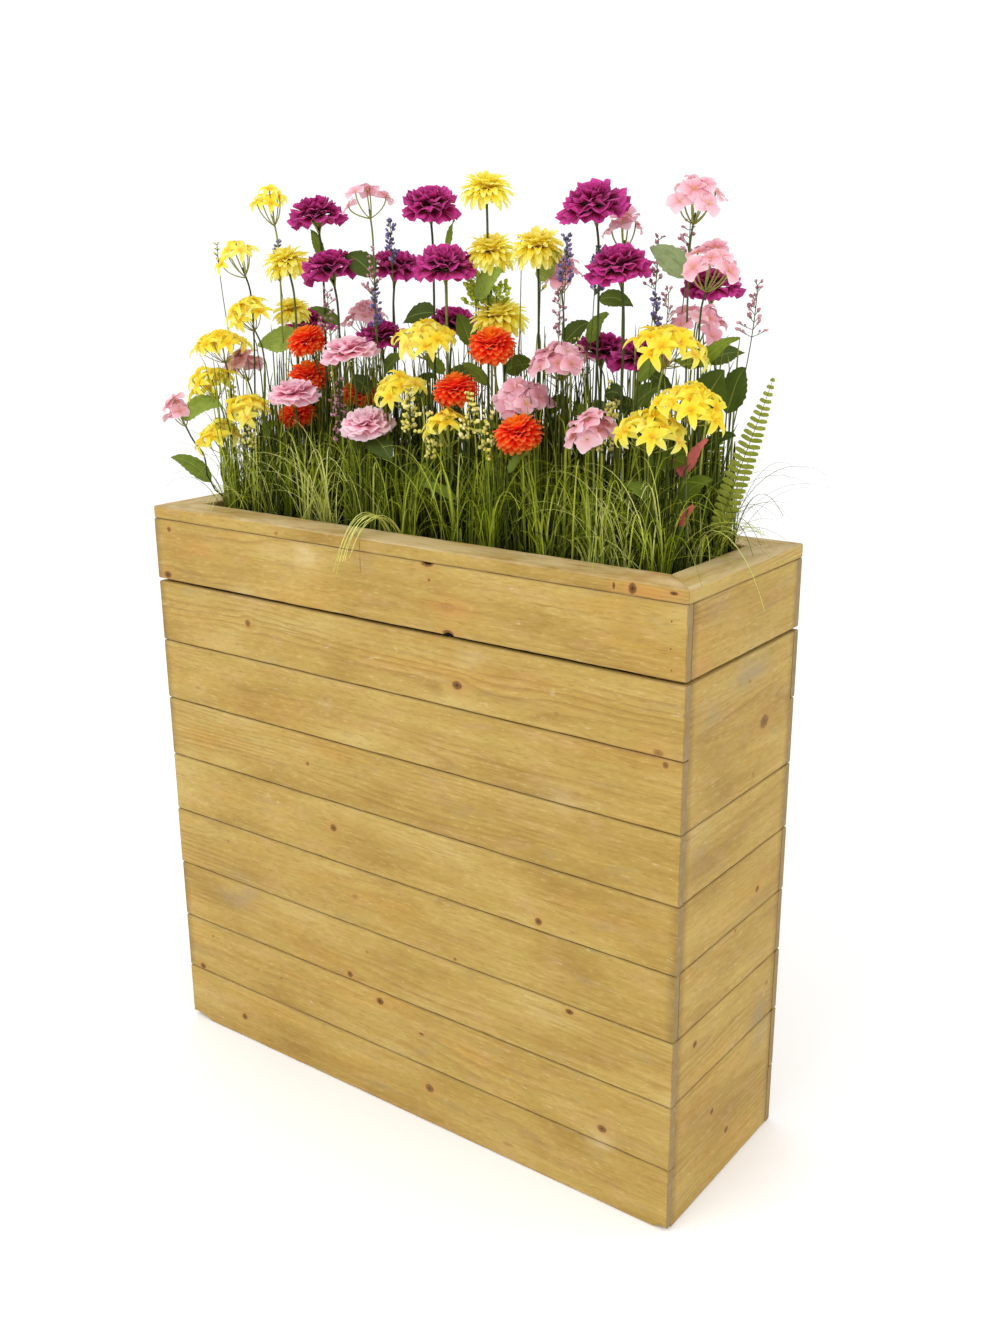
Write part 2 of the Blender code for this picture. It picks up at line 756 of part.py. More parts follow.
def inside_frame(parts):
    """The base panel, the four corner posts on it, and the shelf between the posts."""
    timber("base_panel", (2 * INSIDE_X, 2 * INSIDE_Y, PANEL), (0, 0, PANEL / 2), 0,
           "pine_inside", parts)
    post_low = PANEL + GAP
    for name, along, back in (("front_left", -1, -1), ("front_right", 1, -1),
                              ("back_left", -1, 1), ("back_right", 1, 1)):
        timber(f"corner_post_{name}", (POST, POST, WALL_TOP - post_low),
               (along * (INSIDE_X - POST / 2), back * (INSIDE_Y - POST / 2),
                (WALL_TOP + post_low) / 2), 2, "pine_inside", parts)
    shelf_top = BED_TOP - BED_HIGH - GAP
    timber("shelf", (BETWEEN_POSTS, 2 * INSIDE_Y, PANEL), (0, 0, shelf_top - PANEL / 2), 0,
           "pine_inside", parts)


def upright(radius, low, high, place, sides):
    """A few-sided upright cylinder."""
    bm = bmesh.new()
    bmesh.ops.create_cone(bm, cap_ends=True, segments=sides, radius1=radius, radius2=radius,
                          depth=high - low)
    bmesh.ops.translate(bm, vec=(place[0], place[1], (low + high) / 2), verts=bm.verts)
    return bm


def pierced_block(bm, name, slots, holes, parts):
    """A block with plain holes, cut by one Boolean on a collection of cutters."""
    body = mesh_object(name, bm, slots, parts)
    cutters = new_collection(name + "_cutters")
    for hole in holes:
        cutter = mesh_object(name + "_hole", hole, (), cutters)
        cutter.hide_render = True
        cutter.display_type = "WIRE"
    cut = body.modifiers.new("Holes", "BOOLEAN")
    cut.operation = "DIFFERENCE"
    cut.operand_type = "COLLECTION"
    cut.collection = cutters
    return body


def planting_bed(parts):
    bm = bmesh.new()
    bmesh.ops.create_cube(bm, size=1)
    bmesh.ops.scale(bm, vec=(BETWEEN_POSTS - 2 * BED_CLEAR, 2 * (INSIDE_Y - BED_CLEAR), BED_HIGH),
                    verts=bm.verts)
    bmesh.ops.translate(bm, vec=(0, 0, BED_TOP - BED_HIGH / 2), verts=bm.verts)
    holes = [upright(CROWN_RADIUS + GAP, BED_TOP - HOLE_DEEP, BED_TOP + 0.01, root, CROWN_SIDES)
             for root, _ in BUNCHES.values()]
    pierced_block(bm, "planting_bed", ("bed",), holes, parts)


# Flowers

def lean_of(place, draw):
    """The way a head faces: up and a little to the front, and outwards near the ends of the box."""
    out = Vector((END_LEAN * place.x ** 3, -0.16 + place.y * 1.2, 1))
    return (out + Vector((draw.uniform(-0.14, 0.14), draw.uniform(-0.14, 0.14), 0))).normalized()


def add_heads(plant, heads, petal_slot, draw):
    """Adds the heads of a bunch and gives back the point where each one's stem ends."""
    ends = []
    for kind, x, y, high, across in heads:
        place = Vector((x, y, HEIGHT + high))
        facing = lean_of(place, draw)
        spin = draw.uniform(0, math.tau)
        shapes, middle = head_shapes(kind, across, spin)
        start = place - facing * middle
        turned = Matrix.Translation(start) @ tilted(facing, 0)
        for shape in shapes:
            bmesh.ops.transform(shape, matrix=turned, verts=shape.verts)
            if not is_clear(plant.name, shape):
                print(f"{plant.name}: the {kind} at {x}, {y}, {high} touches another plant")
            plant.add(shape, petal_slot)
        ends.append((start, facing))
    return ends


def within(value, limit):
    return max(-limit, min(limit, value))


def stem_path(root, level, end, facing, bend):
    """From the crown out to the side, then up to the head, with a straight length under the head."""
    way = Vector((end.x - root[0], end.y - root[1], 0)).normalized()
    start = Vector((root[0], root[1], level)) + way * STEM_START
    fan_end = Vector((within(end.x, FAN_X) + bend[0], within(end.y, FAN_Y) + bend[1], BED_TOP + FAN_TOP))
    low = fan_end + Vector((0, 0, FAN_RISE * 0.4))
    neck = end - facing * HEAD_STRAIGHT
    middle = bezier(low, low + Vector((0, 0, 0.05)), neck - facing * 0.04, neck, 0.5)
    return [start, low, middle, neck, end + facing * NECK_SUNK]


def bends():
    """Ways to bend a stem aside, the slightest first."""
    yield (0, 0)
    for step in range(1, 9):
        for turn in range(8):
            angle = math.tau * turn / 8
            yield (0.006 * step * math.cos(angle), 0.006 * step * math.sin(angle))


def add_stem(plant, root, level, end, facing):
    """Adds a head's stem, clear of the other bunches and, where it can be, of its own bunch's stems."""
    for apart in (True, False):
        for bend in bends():
            path = stem_path(root, level, end, facing, bend)
            shape = tube(path, [STEM_RADIUS] * len(path))
            tree = BVHTree.FromBMesh(shape)
            if apart and any(tree.overlap(other) for other in plant.stems):
                shape.free()
                continue
            if plant.add_if_clear(shape, "stem"):
                plant.stems.append(tree)
                return path
    print(f"{plant.name}: no clear way for the stem to {tuple(round(v, 3) for v in end)}")
    return path


def add_stems(plant, root, ends):
    """Adds the stems of a bunch: the one that reaches furthest leaves the crown lowest."""
    reach = {at: math.hypot(end.x - root[0], end.y - root[1]) for at, (end, _) in enumerate(ends)}
    paths = {}
    for rank, at in enumerate(sorted(reach, key=reach.get, reverse=True)):
        level = MAT_TOP + CROWN_LOWEST + rank * STEM_PITCH
        paths[at] = add_stem(plant, root, level, *ends[at])
    return paths


def point_at_height(path, height):
    for low, high in zip(path, path[1:]):
        if low.z <= height <= high.z:
            return low.lerp(high, (height - low.z) / (high.z - low.z))
    return path[-1]


def leaf_path(start, azimuth, rise, long):
    """A leaf's rib: it leaves at a rise and arches over."""
    out = Vector((math.cos(math.radians(azimuth)), math.sin(math.radians(azimuth)), 0))
    path = [start.copy()]
    for step in range(1, LEAF_STEPS + 1):
        angle = math.radians(rise) - 0.8 * step / LEAF_STEPS
        way = out * math.cos(angle) + Vector((0, 0, math.sin(angle)))
        path.append(path[-1] + way * long / LEAF_STEPS)
    return path


def leaf_hint(path):
    """A leaf turns its face to the front, and one that points to the front turns it up."""
    pointing = (path[-1] - path[0]).normalized()
    return LEAF_FACING + Vector((0, 0, 2)) * abs(LEAF_FACING.dot(pointing))


def add_leaf(plant, start, azimuth, rise, long, wide):
    """A broad leaf with a toothed edge. It is turned aside until it is clear."""
    swell = [math.sin(math.pi * min(1, 0.12 + 0.95 * step / LEAF_STEPS)) for step in range(LEAF_STEPS + 1)]
    widths = [wide * each * (1.12 if step % 2 else 0.86) for step, each in enumerate(swell)]
    for turn in (0, 12, -12, 24, -24, 40, -40, 60, -60, 90, -90):
        path = leaf_path(start, azimuth + turn, rise, long)
        shape = leaf(path, widths, LEAF_THICK, leaf_hint(path))
        if plant.add_if_clear(shape, "leaf"):
            return
    print(f"{plant.name}: no room for the leaf at {tuple(round(v, 3) for v in start)}")


def bunches(draw):
    """Every bunch: crowns and heads first, then stems, then leaves, each kept clear of what is there."""
    plants = {}
    ends = {}
    for name, (root, heads) in BUNCHES.items():
        plants[name] = Plant(name)
        crown = upright(CROWN_RADIUS, BED_TOP - HOLE_DEEP + GAP, MAT_TOP + CROWN_RISE, root, CROWN_SIDES)
        plants[name].add(crown, "stem")
        ends[name] = add_heads(plants[name], heads, PETALS[name], draw)
    paths = {}
    for name, (root, _) in BUNCHES.items():
        paths[name] = add_stems(plants[name], root, ends[name])
    for name, stem, height, azimuth, rise, long, wide in LEAVES:
        start = point_at_height(paths[name][stem], HEIGHT + height)
        add_leaf(plants[name], start, azimuth, rise, long, wide)
    return list(plants.values())


# Greenery

def mat_shape():
    bm = bmesh.new()
    bmesh.ops.create_cube(bm, size=1)
    bmesh.ops.scale(bm, vec=(MAT_LONG, MAT_WIDE, MAT_THICK), verts=bm.verts)
    bmesh.ops.translate(bm, vec=(0, 0, MAT_TOP - MAT_THICK / 2), verts=bm.verts)
    return bm


def near_a_root(x, y):
    room = MAT_HOLE + HOLE_ROOM
    return any(math.hypot(x - root[0], y - root[1]) < room for root, _ in BUNCHES.values())


def root_point(draw):
    """A place on the mat that is clear of its holes and edges."""
    while True:
        x = draw.uniform(-MAT_LONG / 2 + EDGE_ROOM, MAT_LONG / 2 - EDGE_ROOM)
        y = draw.uniform(-MAT_WIDE / 2 + EDGE_ROOM, MAT_WIDE / 2 - EDGE_ROOM)
        if not near_a_root(x, y):
            return Vector((x, y, MAT_TOP - ROOT_SUNK))


def grass_path(start, out, reach, rise, droop, steps):
    """An arching blade: it rises, leans out and, where it is limp, its tip comes down."""
    first = start + Vector((0, 0, rise * 0.55)) + out * reach * 0.04
    second = start + Vector((0, 0, rise)) + out * reach * 0.45
    end = start + Vector((0, 0, rise - droop)) + out * reach
    return [bezier(start, first, second, end, step / steps) for step in range(steps + 1)]


def add_blades(mat, count, spans, steps, slot, draw):
    """Adds blades, each drawn again until it is clear."""
    made = 0
    for _ in range(count * 14):
        if made == count:
            return
        start = root_point(draw)
        angle = draw.uniform(0, math.tau)
        out = Vector((math.cos(angle), 0.55 * math.sin(angle), 0))
        path = grass_path(start, out, *(draw.uniform(*span) for span in spans), steps)
        widths = [BLADE_WIDE * share for share in BLADE_TAPER[:steps]]
        shape = blade(path, widths, BLADE_THICK, Vector((0, 0, 1)) + out * 0.01)
        if mat.add_if_clear(shape, slot, alone=True):
            made += 1
    print(f"{made} of {count} blades placed")


def add_draped(mat):
    """The few long blades that hang over the edge of the box."""
    for x, y, tip_x, tip_y, tip_z in DRAPED:
        start = Vector((x, y, MAT_TOP - ROOT_SUNK))
        end = Vector((tip_x, tip_y, HEIGHT + tip_z))
        over = start.lerp(end, 0.55)
        over.z = HEIGHT + DRAPED_RISE
        steps = len(DRAPED_TAPER)
        rise = Vector((0, 0, 0.15))
        path = [bezier(start, start + rise, over, end, step / steps) for step in range(steps + 1)]
        widths = [BLADE_WIDE * share for share in DRAPED_TAPER]
        out = (end - start).normalized()
        shape = blade(path, widths, BLADE_THICK, out.cross(Vector((0, 0, 1))).cross(out))
        if not mat.add_if_clear(shape, "lime_grass"):
            print(f"no room for the blade over the edge at {tip_x}, {tip_y}")


def add_fern(mat, x, y, tip_x, tip_y, tip_high):
    """A frond whose leaflets are cut to the rib in one thin arched outline."""
    start = Vector((x, y, MAT_TOP - ROOT_SUNK))
    end = Vector((tip_x, tip_y, HEIGHT + tip_high))
    first = start + Vector((0, 0, (end.z - start.z) * 0.5))
    second = start.lerp(end, 0.6) + Vector((0, 0, 0.05))
    steps = 2 * FERN_PAIRS + 4
    path = [bezier(start, first, second, end, step / steps) for step in range(steps + 1)]
    widths = []
    for step in range(steps + 1):
        leafy = (step / steps - FERN_BARE) / (1 - FERN_BARE)
        cut = leafy < 0 or step % 2 == 0
        wide = FERN_WIDE * math.sin(math.pi * (0.18 + 0.8 * leafy))
        widths.append(FERN_RIB if cut else max(FERN_RIB, wide))
    shape = leaf(path, widths, LEAF_THICK, Vector((0.35, 1, 0.1)))
    if not mat.add_if_clear(shape, "leaf"):
        print(f"no room for the fern at {x}, {y}")


def spray_shape(path):
    """A slim stem that ends in whorls of buds, each turned from the one below."""
    sections = []
    frames = path_frames(path, TUBE_HINT)
    for step, (point, _, across, out) in enumerate(frames[:-1]):
        whorl = step - SPRAY_STEM_STEPS
        swell = SPRAY_RADIUS if whorl < 0 or whorl % 2 else BUD_RADIUS * (1 - 0.08 * whorl)
        turn = 0.5 * max(whorl, 0)
        section = []
        for side in range(4):
            angle = turn - math.tau * side / 4
            section.append(point + swell * (math.cos(angle) * across + math.sin(angle) * out))
        sections.append(section)
    return loft(sections, tip=path[-1])


def spray_path(root, end):
    """A stem's few points, then close ones through the buds."""
    below = Vector((0, 0, 0.12))
    stem_share = 1 - SPRAY_LONG / (end - root).length
    shares = [stem_share * step / SPRAY_STEM_STEPS for step in range(SPRAY_STEM_STEPS)]
    whorls = 2 * SPRAY_WHORLS
    shares += [stem_share + (1 - stem_share) * step / whorls for step in range(whorls + 1)]
    return [bezier(root, root + below, end - below, end, share) for share in shares]


def add_spray(mat, kind, x, y, high, draw):
    """A spray that stands as near under its tip as the other plants allow."""
    end = Vector((x, y, HEIGHT + high))
    for _ in range(60):
        root = root_point(draw)
        root.x = within(x + draw.uniform(-0.05, 0.05), MAT_LONG / 2 - EDGE_ROOM)
        root.y = within(y + draw.uniform(-0.03, 0.03), MAT_WIDE / 2 - EDGE_ROOM)
        if near_a_root(root.x, root.y):
            continue
        if mat.add_if_clear(spray_shape(spray_path(root, end)), kind, alone=True):
            return
    print(f"no room for the {kind} spray at {x}, {y}")


def greenery(draw):
    mat = Plant("greenery_mat")
    mat.add(mat_shape(), "mat")
    for kind, x, y, high in SPRAYS:
        add_spray(mat, kind, x, y, high, draw)
    for fern in FERNS:
        add_fern(mat, *fern)
    add_draped(mat)
    add_blades(mat, ARCHING_BLADES, (ARCHING_REACH, ARCHING_RISE, ARCHING_DROOP), 4, "lime_grass", draw)
    add_blades(mat, UPRIGHT_BLADES, (UPRIGHT_REACH, UPRIGHT_RISE, UPRIGHT_DROOP), 3, "grass", draw)
    return mat


def cut_mat_holes(body):
    cutters = new_collection("greenery_mat_cutters")
    for root, _ in BUNCHES.values():
        hole = upright(MAT_HOLE, BED_TOP - 0.01, MAT_TOP + 0.003, root, CROWN_SIDES)
        cutter = mesh_object("greenery_mat_hole", hole, (), cutters)
        cutter.hide_render = True
        cutter.display_type = "WIRE"
    cut = body.modifiers.new("Holes", "BOOLEAN")
    cut.operation = "DIFFERENCE"
    cut.operand_type = "COLLECTION"
    cut.collection = cutters
    cut.solver = "MANIFOLD"


def note_timber(parts):
    """Marks the room that the box takes, so that the plants keep clear of it."""
    bpy.context.view_layer.update()
    for piece in parts.objects:
        bm = bmesh.new()
        bm.from_mesh(piece.data)
        bmesh.ops.transform(bm, matrix=piece.matrix_world, verts=bm.verts)
        note_room(piece.name, bm)
        bm.free()


def main():
    clear_scene()
    draw = random.Random(SEED)
    for name in COLOURS:
        make_material(name)
    parts = new_collection("wooden_flower_planter")
    wall_boards(draw, parts)
    rim(parts)
    inside_frame(parts)
    note_timber(parts)
    planting_bed(parts)
    plants = bunches(draw)
    mat = greenery(draw)
    for plant in plants:
        fuse(plant, parts)
    cut_mat_holes(fuse(mat, parts))


main()
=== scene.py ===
"""Looks of a wooden flower planter: sawn pine boards with knots, cloth flowers on plastic stems, grass,
ferns and sprays.

Metres, +Z up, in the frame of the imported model. The tables of places are in millimetres. The planting plan
is the one that the solids follow: a height in it is measured from the top of the rim.
"""

import json
import math
import random

import bpy
import numpy as np
from mathutils import Matrix, Vector, noise

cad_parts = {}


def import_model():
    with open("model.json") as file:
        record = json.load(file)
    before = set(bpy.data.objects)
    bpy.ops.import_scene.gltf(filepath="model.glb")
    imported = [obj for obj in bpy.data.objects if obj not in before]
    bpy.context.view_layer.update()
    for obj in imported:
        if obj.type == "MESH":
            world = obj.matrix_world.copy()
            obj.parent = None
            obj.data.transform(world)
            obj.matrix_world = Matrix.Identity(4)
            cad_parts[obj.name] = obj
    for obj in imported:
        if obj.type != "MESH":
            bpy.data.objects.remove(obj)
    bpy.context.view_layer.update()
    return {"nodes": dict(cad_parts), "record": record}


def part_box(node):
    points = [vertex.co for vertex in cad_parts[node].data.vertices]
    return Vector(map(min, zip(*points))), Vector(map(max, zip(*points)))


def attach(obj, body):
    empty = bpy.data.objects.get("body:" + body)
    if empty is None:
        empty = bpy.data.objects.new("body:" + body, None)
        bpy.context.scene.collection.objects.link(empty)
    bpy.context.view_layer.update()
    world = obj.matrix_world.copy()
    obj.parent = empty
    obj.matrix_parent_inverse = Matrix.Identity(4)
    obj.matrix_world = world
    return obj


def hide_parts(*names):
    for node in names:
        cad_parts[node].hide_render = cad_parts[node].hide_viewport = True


# Box
WIDTH = 0.968
DEPTH = 0.322
RIM_WIDE = 0.058
HEIGHT = 0.921
BED_TOP = HEIGHT - 0.080
GAP = 0.0003
MAT_LONG = 0.844
MAT_WIDE = 0.198
MAT_TOP = BED_TOP + GAP + 0.006
ROOTED = MAT_TOP - 0.004
END_STEP = 0.0008
COURSES = 9

# Camera, solved from the box's corners and joint lines in the photo
CAMERA_PLACE = Vector((1.2383, -1.5625, 1.3135))
CAMERA_RIGHT = Vector((0.80513, 0.59307, -0.00581))
CAMERA_UP = Vector((-0.17075, 0.24116, 0.95534))
CAMERA_FORWARD = Vector((-0.56799, 0.76819, -0.29544))
SENSOR = 36.0
LENS = 36.725

# Stage
FLOOR_REACH = 14.0
LIGHTS_AIM = Vector((0, 0, 0.9))

# Boards
ARRIS = 0.0015
STATION = 0.014
ACROSS_STEPS = 7
END_EASE = 0.0008
WORN = 0.0011
CHIP_SHARE = 6
WOOD_SEED = 11
FAR_KNOT = (9.0, 9.0, 0.01, 0.0)
HIDDEN_KNOTS = {"back": 4.8, "left": 2.4}
# Share of pale tone laid on the rim's top face: a painted light that makes the top brighter
RIM_TOP_LIGHT = 0.9
# Darkening at both ends of a board: partly rough end arris, partly painted shade where boards meet
END_DARK_AND_SHADE = 0.35

# Knots and marks of a side or rim: along, height, radius, then darkness and stretch along the grain
KNOTS = {
    "front": (
        (-451, 886, 4.5, 0.8, 1.1), (-462, 811, 6, 0.95, 1.5), (79, 900, 5, 1, 2.4),
        (82, 877, 2.5, 0.7, 1.2), (113, 843, 7, 0.18, 2.2), (114, 806, 5.5, 1, 1.9), (461, 878, 1.2, 1, 1),
        (461, 843, 1.2, 1, 1), (463, 816, 1.2, 1, 1), (-283, 758, 6.2, 0.75, 1), (128, 734, 6.6, 0.95, 1.4),
        (448, 705, 5, 0.55, 1.6), (294, 726, 3, 0.3, 1.5), (459, 691, 4.8, 0.75, 1),
        (-411, 629, 3.5, 0.25, 1.6), (-124, 664, 4, 0.2, 1.8), (-169, 551, 3.5, 0.65, 1.2),
        (-120, 456, 6.4, 0.85, 1.1), (266, 414, 5.8, 0.9, 1.1), (-80, 350, 4.5, 0.3, 1.5),
        (116, 306, 2.8, 0.7, 1.2), (-363, 369, 2.8, 0.35, 1.5), (319, 290, 4.5, 0.95, 1.6),
        (-98, 209, 5.8, 0.85, 1.1), (-60, 261, 2.6, 0.45, 1.3), (-36, 182, 6.4, 0.95, 1.2),
        (-451, 107, 5.5, 0.9, 1.3), (-419, 175, 2, 0.8, 1), (-256, 148, 2, 0.8, 1),
        (47, 154, 2.2, 0.8, 2.6), (376, 123, 6.2, 0.85, 1.3), (-352, 41, 6.2, 0.85, 1.1),
        (61, 63, 7.4, 0.8, 1.2), (211, 26, 4, 0.3, 2.6), (-44, 884, 18, 0.45, 0.06),
    ),
    "right": (
        (66, 689, 10.5, 0.75, 1.3), (40, 619, 4, 0.35, 1.4), (15, 760, 3, 0.4, 1.4),
        (73, 433, 5.5, 0.75, 1.1), (9, 394, 3.2, 0.5, 1.3), (124, 258, 4, 0.45, 1.3),
        (-99, 268, 5.5, 0.85, 1.1), (-38, 126, 5.2, 0.85, 1.1), (11, 67, 5.5, 0.8, 1.2),
    ),
    "rim_front": (
        (378, 911, 5.2, 0.95, 0.4), (405, 911, 7.8, 1, 0.8), (463, 913, 2.6, 1, 2.4),
        (-44, 909, 9, 0.55, 0.14), (-210, 908, 3, 0.5, 1.4),
    ),
}

# Soft stains: side, along, height, half length, half height, kind (0 orange, 1 grey, 2 pale), strength
STAINS = (
    ("front", -147, 883, 26, 20, 2, 0.8), ("front", -412, 630, 14, 10, 2, 0.8),
    ("front", -124, 657, 14, 10, 2, 0.8), ("front", 373, 103, 22, 18, 2, 0.7),
    ("front", -286, 795, 30, 20, 2, 0.4), ("front", 151, 775, 30, 18, 2, 0.4),
    ("front", 301, 605, 40, 20, 2, 0.4), ("front", 118, 847, 50, 30, 0, 0.45),
    ("front", -400, 860, 60, 20, 0, 0.5), ("front", -341, 276, 50, 30, 1, 0.6),
    ("front", 440, 700, 40, 30, 0, 0.25), ("rim_front", 440, 911, 45, 20, 0, 0.8),
    ("right", 20, 778, 55, 18, 1, 0.9), ("right", -95, 745, 30, 18, 1, 0.7),
    ("right", 109, 202, 30, 45, 1, 0.9), ("right", -81, 885, 40, 20, 1, 0.5),
    ("right", -120, 825, 20, 30, 0, 0.5), ("right", -100, 560, 30, 30, 1, 0.5),
)

# Chips out of a board's edge: board, place along it, which edge (-1 low, 1 high), length, depth
CHIPS = (
    ("front_board_1", -474, -1, 34, 8), ("front_board_1", 478, -1, 16, 6),
    ("front_board_9", 114, -1, 10, 4), ("front_board_9", 79, 1, 8, 3), ("back_board_1", 300, -1, 30, 5),
    ("left_board_1", 120, -1, 18, 5),
)

# Flower heads
END_LEAN = 3.5
CARNATION_HIGH = 0.56
DAHLIA_HIGH = 0.42
POMPOM_HIGH = 0.86
POMPOM_PETALS = 130
UMBEL_DEEP = 0.032
GOLDEN_TURN = 2.39996
PLAN_SEED = 5
STEM_RADIUS = 0.0019
STALK_RADIUS = 0.0007
CROWN_LOWEST = 0.004
STEM_PITCH = 0.0034
HEAD_STRAIGHT = 0.022
FAN_RISE = 0.045
FAN_TOP = 0.105
FAN_X = 0.440
FAN_Y = 0.084

# Planting plan: petals' finish and root of each bunch, then x, y, height and breadth of its heads by kind
BUNCHES = {
    "purple_carnations_left": ("purple", -270, 45, {"carnation": (
        (-235, -20, 440, 84), (-210, -20, 365, 84), (-365, 88, 275, 78),
    )}),
    "purple_carnations_centre": ("purple", -75, 55, {"carnation": (
        (-35, 0, 450, 82), (-145, 52, 365, 80), (15, -30, 370, 84), (-150, 20, 265, 78), (-50, 70, 285, 80),
    )}),
    "purple_carnations_right": ("purple", 275, 55, {"carnation": (
        (245, -10, 445, 88), (295, -30, 370, 82), (360, 100, 343, 80), (205, 75, 255, 80),
        (275, 60, 250, 80),
    )}),
    "pink_carnations": ("pink", -150, -55, {"carnation": (
        (-135, -70, 250, 84), (-235, -85, 185, 78), (-95, -80, 150, 80),
    )}),
    "orange_pompoms_left": ("orange", -250, -30, {"pompom": (
        (-255, -30, 255, 58), (-270, -15, 200, 60), (-190, 10, 175, 56), (-286, -28, 143, 56),
    )}),
    "orange_pompoms_centre": ("orange", 115, -35, {"pompom": (
        (50, -55, 200, 60), (95, -30, 260, 62), (182, -90, 153, 62),
    )}),
    "yellow_flowers_left": ("yellow", -372, -30, {"stars": (
        (-320, -30, 458, 64), (-375, -50, 383, 72), (-363, -50, 297, 76), (-415, -60, 249, 94),
        (-434, -70, 192, 86), (-340, -82, 155, 74), (-405, -85, 111, 66),
    ), "dahlia": (
        (-310, -10, 370, 66), (-335, 20, 297, 56),
    )}),
    "yellow_flowers_centre": ("yellow", 40, 10, {"stars": (
        (-5, -50, 270, 104), (-50, -60, 200, 84), (50, -80, 155, 70),
    ), "dahlia": (
        (65, 0, 465, 66), (65, 10, 385, 64), (150, 0, 390, 66), (70, 20, 295, 74),
    )}),
    "yellow_flowers_right": ("yellow", 385, -50, {"stars": (
        (385, -50, 275, 106), (430, -70, 210, 94), (380, -85, 175, 92),
    )}),
    "pink_umbels_left": ("pale_pink", -395, 30, {"rounds": (
        (-428, -5, 216, 68), (-496, -90, 150, 56),
    )}),
    "pink_umbels_centre": ("pale_pink", -190, 15, {"rounds": (
        (-142, -10, 465, 86), (-210, 55, 290, 74),
    )}),
    "pink_umbels_right": ("pale_pink", 315, -15, {"rounds": (
        (255, 50, 420, 60), (165, 30, 360, 62), (200, -20, 250, 94), (145, -28, 197, 96),
        (290, -80, 170, 74), (390, 0, 450, 86), (425, -20, 370, 90), (380, 40, 295, 94),
    )}),
}

# Open heads by bunch and place in it: number of florets, and how far the outer ones hang
OPEN_HEADS = {
    ("pink_umbels_centre", 0): (5, 0.95), ("pink_umbels_left", 1): (6, 0.80),
    ("pink_umbels_right", 0): (5, 0.60), ("pink_umbels_right", 5): (8, 0.50),
    ("pink_umbels_right", 6): (8, 0.45), ("pink_umbels_right", 7): (8, 0.60),
    ("yellow_flowers_left", 0): (7, 0.50), ("yellow_flowers_left", 1): (8, 0.60),
}
RAGGED = {("pink_carnations", 0): 0.25, ("pink_carnations", 1): 0.5, ("pink_carnations", 2): 0.9}
PURPLE_RAGGED = 0.75

# A head's size across and in height, as a share of its solid's, by petals' finish or by bunch and place
HEAD_SCALE = {
    "purple": (0.88, 0.88), "pink": (0.86, 0.72), "orange": (1.04, 0.80),
    ("yellow_flowers_left", 6): (1.22, 1.12),
}

# Broad leaves of a bunch: stem, height on it, direction and rise in degrees, length, breadth, tone
LEAVES = {
    "pink_umbels_centre": ((0, 350, 185, 52, 64, 34, 0.3),),
    "yellow_flowers_left": ((7, 250, 195, 18, 70, 44, 0.8),),
    "pink_umbels_left": ((1, 30, 180, 42, 98, 26, 0.45), (1, 130, 0, 38, 100, 36, 0.7)),
    "pink_umbels_right": (
        (5, 352, 182, 56, 66, 34, 0.95), (6, 180, 0, 84, 72, 44, 0.3), (6, 245, 5, 58, 66, 18, 0.5),
        (1, 262, 10, 60, 48, 28, 0.3),
    ),
    "yellow_flowers_centre": ((5, 346, 355, 70, 56, 28, 0.72), (6, 222, 10, 34, 48, 30, 0.35)),
    "pink_carnations": ((2, 132, 350, -12, 64, 36, 0.3),),
    "purple_carnations_left": (
        (0, 375, 178, 86, 48, 14, 0.45), (1, 280, 180, 45, 62, 16, 0.35), (2, 190, 100, 30, 65, 30, 0.3),
    ),
    "purple_carnations_centre": ((0, 300, 185, 8, 58, 32, 0.22), (4, 200, 80, 30, 65, 30, 0.3)),
    "purple_carnations_right": (
        (0, 325, 10, 12, 50, 24, 0.35), (3, 170, 110, 25, 65, 30, 0.3), (2, 240, 60, 35, 60, 28, 0.3),
    ),
    "yellow_flowers_right": ((1, 130, 180, 20, 60, 30, 0.45),),
}
LEAF_FACING = np.array([0.35, -0.75, 0.55])
LEAF_BEND = 23

# Leaves on stems of their own: x, y and height of the foot, x and height of the tip, breadth, tone,
# whether red
LOW_LEAVES = (
    (-45, -50, 75, 20, 60, 36, 0.55, False), (381, -70, 84, 338, 100, 18, 0.5, False),
    (395, -30, 80, 445, 110, 24, 0.45, False), (412, -50, 118, 446, 164, 15, 0.6, True),
    (412, -50, 112, 396, 134, 11, 0.3, True), (410, -55, 50, 434, 80, 17, 0.45, True),
    (66, -80, 53, 10, 70, 14, 0.5, False), (160, -85, 100, 202, 132, 14, 0.5, False),
    (45, 0, 322, 98, 360, 32, 0.72, False), (206, 40, 266, 243, 306, 26, 0.45, False),
    (425, 30, 185, 452, 245, 34, 0.3, False), (-30, 30, 385, -8, 428, 10, 0.55, False),
    (20, 20, 255, 2, 300, 24, 0.4, False), (-110, -20, 215, -70, 240, 26, 0.35, False),
    (300, 10, 190, 345, 215, 28, 0.35, False), (-330, -60, 110, -290, 130, 24, 0.45, False),
)
INNER_LEAVES = 26

# Sprays of small buds by kind: x, y, height of the tip
SPRAYS = (
    ("lavender", (
        (-108, 0, 425), (-116, -30, 338), (-384, 45, 398), (216, -30, 402), (340, -10, 330), (236, 10, 388),
    )),
    ("berry", (
        (-195, -45, 330), (362, 32, 420), (318, 30, 400), (460, 30, 345), (-190, -35, 200),
        (-176, -50, 172), (-112, -35, 385), (352, 0, 335), (180, 10, 335),
    )),
    ("bud", (
        (-5, -90, 200), (20, -75, 165), (105, -95, 200), (125, -80, 175), (268, 10, 215), (285, -30, 190),
        (-345, -80, 150), (-440, -20, 180),
    )),
    ("twig", ((134, 30, 370), (208, 10, 270), (-452, -20, 398))),
    ("froth", ((38, 15, 350), (66, 20, 338))),
    ("twig", ((116, 10, 402),)),
)

